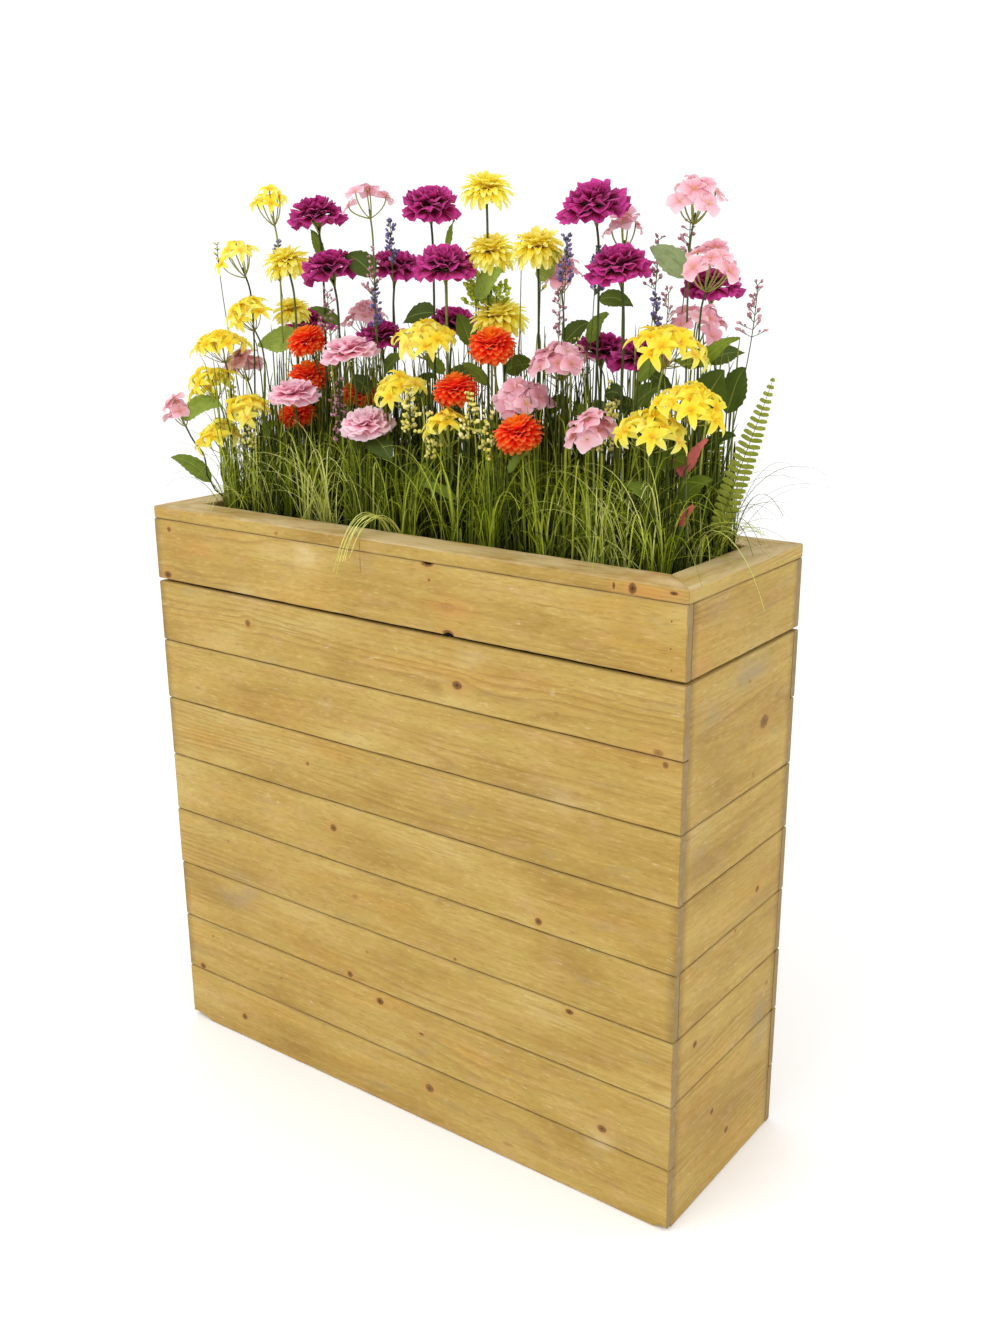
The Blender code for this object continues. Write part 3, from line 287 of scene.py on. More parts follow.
# Slot, levels, twigs a level, length and breadth of a bud, length of a twig, part of the stem with buds
SPRAY_KINDS = {
    "lavender": (1, 10, 3, 0.0072, 0.0048, 0.0105, 0.058),
    "berry": (2, 8, 2, 0.0062, 0.0048, 0.0175, 0.062),
    "bud": (3, 9, 3, 0.0066, 0.0060, 0.0150, 0.062),
    "twig": (3, 5, 2, 0.0046, 0.0036, 0.0100, 0.036),
    "froth": (4, 9, 4, 0.0076, 0.0070, 0.0240, 0.042),
}

# Fern fronds: root x, y, tip x, y, height of the tip
FERNS = (
    (415, 20, 497, 10, 235), (385, 75, 400, 50, 185),
)
FROND_FACING = np.array([-0.50, 0.80, -0.10])
FROND_STEPS = 240
LEAFLET_PAIRS = 24

# Blades that lie over the edge of the box: root x, y, then x, y of the tip, its height and their number
DRAPED = (
    (-32, -88, -56, -188, -50, 3), (-46, -90, -74, -184, -60, 3), (-16, -90, -44, -186, -30, 3),
    (405, -15, 514, -20, -70, 1), (-340, -88, -370, -150, 4, 3), (400, 30, 484, 45, 36, 5),
    (402, -10, 468, 6, 30, 4),
)

# Grass: clumps of upright blades, and tufts of arching ones
CLUMPS = 140
CLUMP_BLADES = 20
TUFTS = 26
TUFT_BLADES = 26
TUFT_TRIES = 12
DRAPE_TRIES = 20
OUTSIDE = 0.425
GRASS_SEED = 21

# Kinds of lone blades: number, reach, heights, half widths, tones, least y of the root
LONE_BLADES = (
    (400, 0.03, (0.22, 0.37), (0.0012, 0.0019), (0.1, 1.0), -0.01),
    (190, 0.05, (0.14, 0.33), (0.0026, 0.0044), (0.35, 1.0), -1.0),
    (560, 0.02, (0.13, 0.27), (0.0030, 0.0052), (0.0, 0.45), -0.01),
)

# Tufts that show: place and how pale they are
TUFT_SPOTS = (
    (-385, -80, 0.5), (-330, -85, 0.8), (-300, -78, 0.9), (-215, -88, 0.9), (-165, -92, 1),
    (-100, -80, 0.5), (-30, -85, 0.5), (60, -80, 0.5), (130, -88, 0.4), (220, -82, 0.6), (300, -80, 0.9),
    (345, -85, 1), (385, -60, 1), (408, -10, 0.7), (410, 40, 0.6), (400, -85, 0.8),
)

# Cloth: ramp from base to tip, the dye's tones with painted shade at the base and a painted highlight at the
# tip, light and dark tone of the veins, centre, light let through, veins' strength
CLOTHS = {
    "purple": (((0.08, (62, 0, 20)), (0.32, (132, 0, 50)), (0.66, (168, 0, 84)), (0.97, (216, 68, 160))),
               (224, 84, 174), (82, 0, 30), None, 0.24, 0.42),
    "pink": (((0.10, (246, 134, 156)), (0.40, (255, 186, 206)), (0.78, (255, 212, 226)),
              (0.98, (255, 238, 244))), (255, 236, 242), (244, 152, 182), None, 0.40, 0.2),
    "pale_pink": (((0.06, (226, 150, 122)), (0.30, (236, 168, 182)), (0.80, (246, 200, 210)),
                   (1.0, (252, 228, 234))), (252, 230, 236), (220, 142, 162), (206, 186, 96), 0.36, 0.30),
    "orange": (((0.10, (236, 26, 6)), (0.40, (255, 60, 18)), (0.78, (255, 96, 34)), (1.0, (255, 176, 84))),
               (255, 160, 76), (240, 30, 12), (255, 170, 30), 0.60, 0.1),
    "yellow": (((0.04, (248, 206, 22)), (0.30, (255, 234, 50)), (0.75, (255, 249, 100)),
                (1.0, (255, 253, 170))), (255, 255, 176), (244, 212, 36), (246, 204, 50), 0.44, 0.2),
}

# Greens and buds: tones of the blades, a dark tone for blotches, lines and the painted shade low down,
# roughness, light let through, tone of painted spots
GREENS = {
    "stem": (((0.2, (50, 62, 24)), (0.5, (80, 94, 34)), (0.8, (134, 144, 62))),
             (36, 42, 12), 0.5, 0.12, (186, 186, 92)),
    "leaf": (((0.0, (44, 56, 16)), (0.30, (74, 92, 28)), (0.55, (122, 142, 40)), (0.80, (156, 178, 80)),
              (1.0, (144, 162, 122))), (54, 68, 18), 0.6, 0.36, (162, 174, 90)),
    "grass": (((0.0, (22, 30, 2)), (0.26, (54, 64, 6)), (0.52, (104, 118, 16)), (0.78, (174, 186, 46)),
               (1.0, (220, 224, 96))), (14, 19, 0), 0.5, 0.30, None),
    "reed": (((0.0, (84, 92, 24)), (0.5, (136, 148, 52)), (1.0, (196, 202, 96))),
             (48, 56, 8), 0.5, 0.42, None),
    "fern": (((0.0, (104, 112, 26)), (0.5, (140, 148, 48)), (1.0, (172, 176, 74))),
             (84, 88, 20), 0.5, 0.40, None),
    "lime_grass": (((0.0, (86, 104, 8)), (0.35, (152, 172, 28)), (0.70, (202, 214, 72)),
                    (1.0, (240, 244, 152))), (36, 46, 0), 0.45, 0.35, None),
    "moss": (((0.0, (20, 24, 6)), (0.5, (44, 48, 12)), (1.0, (74, 76, 26))), (14, 16, 4), 0.85, 0.0, None),
    "lavender": (((0.0, (98, 86, 142)), (0.5, (138, 124, 176)), (1.0, (190, 172, 208))),
                 (88, 76, 118), 0.6, 0.35, None),
    "berry": (((0.0, (176, 116, 132)), (0.5, (210, 154, 166)), (1.0, (236, 190, 196))),
              (160, 104, 118), 0.55, 0.25, None),
    "bud": (((0.0, (232, 220, 100)), (0.5, (252, 244, 140)), (1.0, (255, 252, 196))),
            (200, 192, 74), 0.55, 0.35, None),
    "froth": (((0.0, (196, 212, 50)), (0.5, (226, 238, 90)), (1.0, (246, 250, 150))),
              (176, 192, 44), 0.6, 0.66, None),
    "red_leaf": (((0.0, (150, 60, 56)), (0.5, (196, 92, 88)), (1.0, (204, 136, 124))),
                 (108, 62, 42), 0.6, 0.3, None),
}

UP = np.array([0.0, 0.0, 1.0])


def metres(rows, first, last):
    """Rows of a table, with their values from first up to last turned into metres."""
    return [(*row[:first], *(each / 1000 for each in row[first:last]), *row[last:]) for row in rows]


def heading(angle, rise=0.0):
    return np.array([math.cos(angle), math.sin(angle), rise])


def unit(vectors):
    return vectors / np.maximum(np.linalg.norm(vectors, axis=-1, keepdims=True), 1e-9)


def within(value, limit):
    return max(-limit, min(limit, value))


def rgb(red, green, blue):
    """A colour from 0 to 255 values, as Blender's shaders take it."""
    linear = []
    for value in (red, green, blue):
        share = value / 255
        linear.append(share / 12.92 if share <= 0.04045 else ((share + 0.055) / 1.055) ** 2.4)
    return (*linear, 1.0)


# Shaders

class Value:
    """What a shader node gives. Arithmetic with it adds Math nodes."""

    def __init__(self, shade, socket):
        self.shade = shade
        self.socket = socket

    def __add__(self, other):
        return self.shade.math("ADD", self, other)

    def __sub__(self, other):
        return self.shade.math("SUBTRACT", self, other)

    def __mul__(self, other):
        return self.shade.math("MULTIPLY", self, other)

    def span(self, low, high, to_high=1.0, to_low=0.0):
        """From to_low to to_high while the value goes from low to high."""
        inputs = {"Value": self, "From Min": low, "From Max": high, "To Min": to_low, "To Max": to_high}
        return self.shade.node("MapRange", inputs)[0]

    def ramp(self, *stops):
        """A colour for the value, between stops of a place and a tone."""
        made = self.shade.new("ValToRGB", {0: self})
        places = made.color_ramp.elements
        while len(places) < len(stops):
            places.new(0.5)
        for element, (place, tone) in zip(places, stops):
            element.position = place
            element.color = rgb(*tone)
        return Value(self.shade, made.outputs[0])


class Shade:
    """A material's node tree, with a colour that further tones are laid over."""

    def __init__(self, name):
        self.material = bpy.data.materials.new(name)
        self.material.use_nodes = True
        self.tree = self.material.node_tree
        self.surface = self.tree.nodes["Principled BSDF"]
        self.colour = None

    def put(self, socket, value):
        if isinstance(value, Value):
            self.tree.links.new(value.socket, socket)
        else:
            socket.default_value = value

    def new(self, kind, inputs=None, **settings):
        made = self.tree.nodes.new("ShaderNode" + kind)
        for key, value in settings.items():
            setattr(made, key, value)
        for place, value in (inputs or {}).items():
            self.put(made.inputs[place], value)
        return made

    def node(self, kind, inputs=None, **settings):
        """A new node's outputs."""
        return [Value(self, socket) for socket in self.new(kind, inputs, **settings).outputs]

    def math(self, operation, first, second=0.0):
        return self.node("Math", {0: first, 1: second}, operation=operation)[0]

    def vector(self, *parts):
        return self.node("CombineXYZ", dict(enumerate(parts)))[0]

    def noise(self, vector, scale, detail=2.0, rough=0.5):
        """Noise of one scale, or of a scale for each axis."""
        if isinstance(scale, tuple):
            vector = self.node("VectorMath", {0: vector, 1: scale}, operation="MULTIPLY")[0]
            scale = 1.0
        inputs = {"Vector": vector, "Scale": scale, "Detail": detail, "Roughness": rough}
        return self.node("TexNoise", inputs)[0]

    def place(self):
        """Where the shader is on the object."""
        return Value(self, self.new("TexCoord").outputs["Object"])

    def attribute(self, name):
        """A painted value: its vector, its three parts and its alpha."""
        outputs = self.new("Attribute", attribute_name=name).outputs
        vector = Value(self, outputs["Vector"])
        return vector, self.node("SeparateXYZ", {0: vector}), Value(self, outputs["Alpha"])

    def over(self, share, tone):
        """Lays a tone over the colour."""
        tone = tone if isinstance(tone, Value) else rgb(*tone)
        made = self.new("Mix", data_type="RGBA")
        for place, value in ((0, share), (6, self.colour), (7, tone)):
            self.put(made.inputs[place], value)
        self.colour = Value(self, made.outputs[2])

    def bump(self, height, strength, distance):
        made = self.node("Bump", {"Height": height, "Strength": strength, "Distance": distance})[0]
        self.put(self.surface.inputs["Normal"], made)

    def finish(self, rough, **plain):
        self.put(self.surface.inputs["Base Color"], self.colour)
        self.put(self.surface.inputs["Roughness"], rough)
        for name, value in plain.items():
            self.surface.inputs[name.replace("_", " ")].default_value = value
        return self.material

    def through_light(self, share):
        """Lets some light through a thin sheet."""
        lit = self.node("BsdfTranslucent", {"Color": self.colour})[0]
        mixed = self.node("MixShader", {0: share, 1: Value(self, self.surface.outputs[0]), 2: lit})[0]
        self.put(self.tree.nodes["Material Output"].inputs["Surface"], mixed)


def pine():
    """Sawn pine from its grain: rings about a pith, fibres, flecks, stains, knots and dark ends."""
    shade = Shade("Sawn pine")
    grain, (_, across, depth), wear = shade.attribute("grain")
    knot, (knot_x, knot_y, knot_radius), dark = shade.attribute("knot")
    _, (orange, grey, pale_stain_and_top_light), end_dark_and_shade = shade.attribute("stain_and_painted_light")
    away = Value(shade, shade.new("VectorMath", {0: shade.vector(knot_x, knot_y, 0.0)},
                                  operation="LENGTH").outputs["Value"])
    near = shade.math("POWER", 2.718, away * away * -0.16)

    def grained(along, side, detail=2.0, rough=0.5):
        return shade.noise(grain, (along, side, side), detail, rough)

    # Rings, pushed aside by knots
    drift = grained(2.2, 9.0)
    waver = grained(9.0, 60.0)
    pushed = across - knot_y * knot_radius * (near * 0.8)
    reach = shade.math("SQRT", pushed * pushed + depth * depth) + drift * 0.040 + waver * 0.0022
    ring = shade.math("FRACT", reach * 170.0)
    late = ring.ramp((0.0, (0, 0, 0)), (0.45, (63, 63, 63)), (0.86, (255, 255, 255)), (1.0, (0, 0, 0)))
    late = late * grained(2.2, 14.0).span(0.46, 0.66, 0.75)

    # Broad tone, then streaks, flecks and cracks along the grain
    patch = grained(4.2, 13.0, 3.0, 0.55)
    shade.colour = patch.ramp((0.28, (152, 120, 50)), (0.46, (170, 140, 68)), (0.60, (179, 151, 81)),
                              (0.76, (188, 165, 102)))
    warm = grained(3.4, 12.0, 4.0, 0.6)
    shade.over(warm.span(0.54, 0.72, 0.50), (186, 138, 56))
    tint = grained(18.0, 40.0)
    shade.over(tint.span(0.54, 0.72, 0.26), (188, 148, 106))
    shade.over(tint.span(0.46, 0.30, 0.22), (170, 153, 76))
    shade.over(late * 0.7, (136, 98, 40))
    streak = grained(5.0, 130.0, 3.0, 0.65)
    shade.over(streak.span(0.52, 0.76, 0.42), (146, 112, 52))
    shade.over(streak.span(0.46, 0.26, 0.24), (204, 176, 112))
    fleck = grained(60.0, 300.0, 3.0, 0.7)
    shade.over(fleck.span(0.54, 0.72, 0.52), (134, 102, 48))
    shade.over(fleck.span(0.44, 0.26, 0.36), (214, 190, 132))
    crack = grained(7.0, 420.0)
    shade.over(crack.span(0.68, 0.76, 0.50), (106, 74, 32))

    # Weathering, scuffs and the listed stains; the pale stain also carries a painted light on the rim's top
    # face
    cloud = grained(11.0, 34.0, 4.0, 0.65)
    ragged = cloud.span(0.34, 0.58)
    shade.over(cloud.span(0.58, 0.76, 0.45), (150, 132, 94))
    # The pale tone also lays a painted light on the rim's top face
    for amount, tone in ((orange, (190, 124, 56)), (grey, (142, 128, 104)), (pale_stain_and_top_light, (212, 190, 144))):
        shade.over(amount * ragged * 0.80, tone)
    scuff = grained(30.0, 90.0, 3.0, 0.7)
    shade.over(scuff.span(0.66, 0.76, 0.5), (210, 190, 148))

    # Knots: a dark, often split heart that fades into brown, with a pale halo
    edge = away + shade.noise(knot, 2.8, 3.0) * 0.8
    shade.over(edge.span(3.2, 1.4, 0.50) * dark, (178, 132, 68))
    heart = (edge * 0.6).ramp((0.20, (46, 26, 4)), (0.42, (78, 48, 14)), (0.60, (124, 84, 34)),
                              (0.66, (96, 60, 20)), (0.86, (146, 106, 48)))
    core = edge.span(1.55, 1.15) * dark
    shade.over(core, heart)

    # Ends, worn edges, and dark lines at both ends of a board: partly rough end arris, partly painted shade
    # where boards meet
    grime = grained(60.0, 60.0, 3.0, 0.6)
    shade.over(wear * grime.span(0.25, 0.6, 1.0, 0.55),
               grime.ramp((0.3, (104, 86, 58)), (0.7, (146, 126, 94))))
    # Painted shade where boards meet, together with the darker rough end arris
    shade.over(end_dark_and_shade * grime.span(0.30, 0.55, 1.0, 0.4), (84, 60, 28))
    shade.bump(fleck * 0.6 + late * -0.4 + streak * 0.5 - core * 0.8, 0.5, 0.0007)
    return shade.finish(patch.span(0.3, 0.7, 0.80, 0.64), Specular_IOR_Level=0.30)


def rough_pine():
    """Unseen timber, in the frame's own coordinates."""
    shade = Shade("Rough pine")
    streak = shade.noise(shade.place(), (3.0, 120.0, 120.0), 3.0, 0.6)
    patch = shade.noise(shade.place(), 7.0, 3.0)
    shade.colour = streak.ramp((0.3, (128, 98, 54)), (0.55, (168, 134, 80)), (0.75, (186, 156, 104)))
    shade.over(patch.span(0.45, 0.7, 0.5), (140, 112, 66))
    shade.bump(streak, 0.4, 0.0008)
    return shade.finish(patch.span(0.3, 0.7, 0.9, 0.75))


def foam():
    """Dark, dry flower foam with open pores."""
    shade = Shade("Flower foam")
    pores = shade.noise(shade.place(), 420.0)
    clouds = shade.noise(shade.place(), 24.0, 3.0)
    shade.colour = pores.ramp((0.35, (22, 20, 12)), (0.65, (58, 54, 36)))
    shade.over(clouds.span(0.4, 0.7, 0.5), (40, 44, 22))
    shade.bump(pores, 0.6, 0.001)
    return shade.finish(clouds.span(0.3, 0.7, 0.98, 0.88))


def cloth(name, stops, light, deep, centre, glow, vein):
    """Cloth petals: a ramp from base to tip that holds the dye's tones with painted shade at the base and a
    painted highlight at the tip, veins along each petal and a tone of its own.
    """
    shade = Shade(name)
    _, (along, side, chance), middle = shade.attribute("paint")
    blotch = shade.noise(shade.place(), 190.0, 3.0, 0.6)
    # Base to tip: the dye's tones, darker at the base as painted shade and lighter at the tip as a painted
    # highlight
    shade.colour = (along + (blotch - 0.5) * 0.25).ramp(*stops)
    veins = shade.noise(shade.vector(side * 26.0, along * 2.0, chance * 40.0), 1.0)
    shade.over(veins.span(0.50, 0.72, vein), deep)
    shade.over(veins.span(0.48, 0.30, vein), light)
    shade.over(chance.span(0.55, 1.0, 0.35), light)
    shade.over(chance.span(0.40, 0.0, 0.40), deep)
    if centre is not None:
        shade.over(middle, centre)
    weave = shade.noise(shade.place(), 1500.0, 1.0)
    shade.bump(veins * 0.8 + weave * 0.4, 0.35, 0.0006)
    shade.finish(blotch.span(0.3, 0.7, 0.86, 0.70), Sheen_Weight=0.12, Sheen_Roughness=0.4,
                 Specular_IOR_Level=0.25)
    shade.through_light(glow)
    return shade.material


def green(name, tones, dark_tone_and_low_shade, rough, glow, spot):
    """Moulded green plastic: a tone for each blade, darker low down as a painted shade, with fine lines along
    it.
    """
    shade = Shade(name)
    _, (along, side, chance), extra = shade.attribute("paint")
    blotch = shade.noise(shade.place(), 90.0, 3.0, 0.6)
    lines = shade.noise(shade.vector(side * 14.0, along * 3.0, chance * 30.0), 1.0)
    shade.colour = chance.ramp(*tones)
    shade.over(blotch.span(0.45, 0.75, 0.35), dark_tone_and_low_shade)
    # Painted shade: each blade darker towards its foot
    shade.over(along.span(0.45, 0.0, 0.75), dark_tone_and_low_shade)
    shade.over(lines.span(0.50, 0.75, 0.30), dark_tone_and_low_shade)
    if spot is not None:
        shade.over(extra, spot)
    shade.bump(lines + blotch, 0.3, 0.0006)
    shade.finish(blotch.span(0.3, 0.7, rough + 0.10, rough - 0.06), Specular_IOR_Level=0.25)
    shade.through_light(glow)
    return shade.material


def make_materials():
    finishes = {"pine": pine(), "pine_inside": rough_pine(), "bed": foam()}
    for table, make in ((CLOTHS, cloth), (GREENS, green)):
        for name, row in table.items():
            finishes[name] = make(name.replace("_", " ").capitalize(), *row)
    return finishes


# Meshes

def grid_faces(rows, columns, closed=False):
    """Quads between the points of a grid, row after row. Closed joins each row's ends."""
    here = np.arange(columns if closed else columns - 1)[None, :]
    after = (here + 1) % columns
    low = np.arange(rows - 1)[:, None] * columns
    return np.stack([low + here, low + after, low + columns + after, low + columns + here], -1).reshape(-1, 4)


def painted(points, chance, extra=0.0):
    """Values for a grid: along, across, the shape's own chance, and an extra one."""
    rows, columns = points.shape[:2]
    paint = np.zeros((rows, columns, 4))
    paint[..., 0] = np.linspace(0, 1, rows)[:, None]
    paint[..., 1] = np.linspace(0, 1, columns)[None, :]
    paint[..., 2] = chance
    paint[..., 3] = extra
    return paint


class Build:
    """Points, painted values and faces of one piece, gathered shape by shape."""

    def __init__(self):
        self.points = []
        self.paint = []
        self.faces = []
        self.slots = []
        self.count = 0

    def add(self, points, paint, slot=0, closed=False):
        """A sheet of quads through a grid of points."""
        rows, columns = points.shape[:2]
        faces = grid_faces(rows, columns, closed)
        self.faces.extend((faces + self.count).tolist())
        self.slots.extend([slot] * len(faces))
        self.points.append(points.reshape(-1, 3))
        self.paint.append(paint.reshape(-1, 4))
        self.count += rows * columns

    def piece(self, name, finishes, replaced, slot):
        mesh = bpy.data.meshes.new(name)
        mesh.from_pydata(np.concatenate(self.points).tolist(), [], self.faces)
        mesh.polygons.foreach_set("material_index", self.slots)
        mesh.shade_smooth()
        paint = mesh.attributes.new("paint", "FLOAT_COLOR", "POINT")
        paint.data.foreach_set("color", np.concatenate(self.paint).ravel())
        place_piece(name, mesh, finishes, replaced, slot)


def in_scene(name, data):
    made = bpy.data.objects.new(name, data)
    bpy.context.scene.collection.objects.link(made)
    return made


def place_piece(name, mesh, finishes, replaced, slot):
    for finish in finishes:
        mesh.materials.append(finish)
    made = in_scene(name, mesh)
    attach(made, "root")
    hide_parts(replaced)


def bezier(start, first, second, end, steps):
    share = np.linspace(0, 1, steps + 1)[:, None]
    rest = 1 - share
    start, first, second, end = (np.asarray(each, float) for each in (start, first, second, end))
    middle = 3 * first * rest ** 2 * share + 3 * second * rest * share ** 2
    return start * rest ** 3 + middle + end * share ** 3


def frames(path, hint):
    """Directions along a path, across it and out of it."""
    along = unit(np.gradient(path, axis=0))
    across = unit(np.cross(along, hint))
    return along, across, np.cross(across, along)


def sheet(rib, across, half, side, *offsets):
    """Rows of points across a rib, each half as wide as its row says. An offset is a direction, and how far
    the points move along it."""
    points = rib[:, None] + np.atleast_2d(across)[:, None] * (half[:, None] * side)[..., None]
    for way, far in offsets:
        points = points + np.atleast_2d(way)[:, None] * np.broadcast_to(far, points.shape[:2])[..., None]
    return points


def add_tube(build, path, radii, slot, chance, sides=5, extra=0.0):
    """A tube along a path, closed at its end."""
    path = np.asarray(path, float)
    radii = np.broadcast_to(radii, len(path))
    _, across, out = frames(path, (0.93, 0.31, 0.17))
    turn = math.tau * np.arange(sides) / sides
    spokes = np.cos(turn)[None, :, None] * across[:, None] + np.sin(turn)[None, :, None] * out[:, None]
    points = path[:, None] + radii[:, None, None] * spokes
    build.add(points, painted(points, chance, extra), slot, closed=True)
    build.faces.append(list(range(build.count - sides, build.count)))
    build.slots.append(slot)


def add_ribbon(build, path, widths, fold, chance):
    """A blade folded along its middle. It stays flat across its own plane, however far its tip bends."""
    run = path[-1] - path[0]
    flat = math.hypot(run[0], run[1]) + 1e-6
    _, across, out = frames(path, (-0.27 * run[0] / flat, -0.27 * run[1] / flat, 1.0))
    half = widths / 2
    side = np.linspace(-1, 1, 3)
    points = sheet(path, across, half, side, (out, half[:, None] * np.abs(side) * fold))
    build.add(points, painted(points, chance))


def petal(foot, azimuth, first, last, long, half, side, lift=0.0, push=0.0):
    """One petal in its head's frame. It leaves its foot at the first rise and ends at the last."""
    rows = len(half)
    rise = np.radians(first + (last - first) * np.linspace(0, 1, rows) ** 0.8)
    radial = heading(azimuth)
    along = radial * np.cos(rise)[:, None] + UP * np.sin(rise)[:, None]
    out = UP * np.cos(rise)[:, None] - radial * np.sin(rise)[:, None]
    steps = (along[1:] + along[:-1]) / 2 * long / (rows - 1)
    rib = radial * foot[0] + UP * foot[1] + np.concatenate([np.zeros((1, 3)), np.cumsum(steps, 0)])
    return sheet(rib, np.cross(UP, radial), half, side, (out, lift), (along, push))


def turned_to(facing):
    return np.array(Vector(UP).rotation_difference(facing).to_matrix())


class Head:
    """A flower head being built: its frame in the scene and the two builds that take its parts."""

    def __init__(self, petals, greens, start, facing, scale, draw):
        self.turn = turned_to(facing)
        self.scale = np.array([scale[0], scale[0], scale[1]])
        self.start = np.array(start)
        self.petals = petals
        self.greens = greens
        self.draw = draw

    def world(self, points):
        return (np.asarray(points) * self.scale) @ self.turn.T + self.start

    def add(self, points, chance, extra=0.0):
        self.petals.add(self.world(points), painted(points, chance, extra))

    def stalk(self, path, radii, sides, chance, extra):
        add_tube(self.greens, self.world(path), radii, 0, chance, sides, extra)

    def calyx(self, levels, radii, chance, extra):
        self.stalk([UP * level for level in levels], np.array(radii), 7, chance, extra)

    def sepals(self, count, foot, long, half, first, last):
        """Green leaflets under the head."""
        widths = half * np.sin(np.pi * (0.25 + 0.75 * np.linspace(0, 1, 5))) + 0.0001
        side = np.linspace(-1, 1, 3)
        for step in range(count):
            azimuth = math.tau * (step + self.draw.uniform(-0.2, 0.2)) / count
            points = petal(foot, azimuth, first, last + self.draw.uniform(-10, 10), long, widths, side,
                           0.3 * widths[:, None] * np.abs(side))
            self.greens.add(self.world(points), painted(points, self.draw.random(), 0.3))


def whorls(draw, rows, wobble):
    """The azimuth of each petal, and the other values of its whorl."""
    for count, *values in rows:
        spin = draw.uniform(0, math.tau)
        for step in range(count):
            yield spin + math.tau * (step + draw.uniform(-wobble, wobble)) / count, *values


def carnation(head, across, ragged):
    """Whorls of broad frilled petals that stand steeper towards the middle, in a slim calyx."""
    draw = head.draw
    radius = across / 2
    high = across * CARNATION_HIGH
    share = np.linspace(0, 1, 8)[:, None]
    side = np.linspace(-1, 1, 11)
    fan = 0.10 + 0.90 * np.sin(np.pi / 2 * np.minimum(1, 1.1 * share[:, 0])) ** 1.2
    rows = (
        (9, 0.10, 0.16, 40, -46, 1.10),
        (9, 0.09, 0.24, 54, -22, 1.04),
        (8, 0.08, 0.30, 64, 8, 0.94),
        (7, 0.06, 0.34, 74, 38, 0.84),
        (6, 0.03, 0.36, 84, 64, 0.74),
    )
    for azimuth, out, level, first, last, reach in whorls(draw, rows, 0.15):
        long = radius * reach * draw.uniform(0.90, 1.06)
        half = long * draw.uniform(0.52, 0.66) * fan
        waves = draw.uniform(0.9, 1.5) + 1.1 * ragged
        phase = draw.uniform(0, math.tau)
        frill = np.sin(math.pi * waves * side + phase) + 0.4 * np.sin(2.3 * math.pi * waves * side - phase)
        frill = frill * share ** 1.5 * long * (0.06 + 0.07 * ragged)
        cup = 0.12 * long * side ** 2 * share
        teeth = np.array([draw.uniform(-1, 1) for _ in side]) * (0.006 + 0.034 * ragged)
        push = teeth * long * share ** 6 - 0.20 * long * side ** 2 * share
        points = petal((radius * out, high * level), azimuth, first + draw.uniform(-6, 6),
                       last + draw.uniform(-14, 14), long, half, side, frill + cup, push)
        head.add(points, 0.85 * draw.random() + 0.15 * (reach < 0.9))
    head.calyx(np.array([-0.02, 0.06, 0.16, 0.28, 0.34]) * high, (0.0022, 0.0042, 0.0058, 0.0064, 0.0050),
               0.6, 0.2)
    head.sepals(6, (0.004, 0.05 * high), 0.42 * radius, 0.0022, 62, 20)
    head.sepals(4, (0.002, -0.012), 0.60 * radius, 0.0020, 80, 46)


def dahlia(head, across):
    """Layers of narrow pointed rays: the outer ones hang, the inner ones stand."""
    draw = head.draw
    radius = across / 2
    high = across * DAHLIA_HIGH
    half = 0.170 * radius * np.sin(np.pi * (0.14 + 0.80 * np.linspace(0, 1, 7))) ** 0.7 + 0.0002
    side = np.linspace(-1, 1, 3)
    rows = (
        (22, 0.10, 0.36, 8, -68, 1.10, 0.0),
        (24, 0.10, 0.40, 26, -46, 1.14, 0.0),
        (22, 0.09, 0.43, 42, -18, 1.10, 0.0),
        (20, 0.08, 0.46, 56, 10, 1.00, 0.0),
        (16, 0.06, 0.48, 70, 38, 0.86, 0.15),
        (10, 0.03, 0.50, 86, 64, 0.66, 0.45),
    )
    for azimuth, out, level, first, last, reach, warm in whorls(draw, rows, 0.2):
        long = radius * reach * draw.uniform(0.88, 1.06)
        points = petal((radius * out, high * level), azimuth + draw.uniform(-0.05, 0.05),
                       first + draw.uniform(-8, 8), last + draw.uniform(-16, 16), long, half, side,
                       0.45 * half[:, None] * np.abs(side))
        head.add(points, draw.random(), warm)
    head.calyx(np.array([-0.02, 0.20, 0.40, 0.56]) * high, (0.0020, 0.0042, 0.0062, 0.0045), 0.5, 0.3)


def pompom(head, across):
    """A dense ball of short pointed petals."""
    draw = head.draw
    radius = across / 2
    share = np.linspace(0, 1, 5)
    side = np.linspace(-1, 1, 3)
    half = radius * 0.205 * np.sin(np.pi * (0.24 + 0.70 * share)) ** 0.7 + 0.0002
    for step in range(POMPOM_PETALS):
        level = 1 - 1.80 * (step + 0.5) / POMPOM_PETALS
        outward = heading(step * GOLDEN_TURN) * math.sqrt(max(0.0, 1 - level * level)) + UP * level
        towards_top = unit(UP - outward * level + np.array([1e-6, 0, 0]))
        across_way = np.cross(towards_top, outward)
        long = radius * draw.uniform(0.62, 0.76)
        lean = 0.55 - 0.9 * share + draw.uniform(-0.15, 0.15)
        ways = unit(outward + towards_top * lean[:, None] + across_way * draw.uniform(-0.15, 0.15))
        rib = UP * 0.5 * across * POMPOM_HIGH + outward * radius * 0.42 * (0.93 if level > 0 else 0.86)
        rib = rib + np.concatenate([np.zeros((1, 3)), np.cumsum(ways[1:] * long / (len(share) - 1), 0)])
        normals = unit(np.cross(across_way, ways))
        points = sheet(rib, across_way, half, side, (normals, -0.5 * half[:, None] * np.abs(side)))
        head.add(points, draw.random(), max(0.0, level - 0.72) * 2.2)
    head.calyx((-0.002, 0.10 * across, 0.22 * across), (0.0022, 0.0060, 0.0085), 0.5, 0.2)


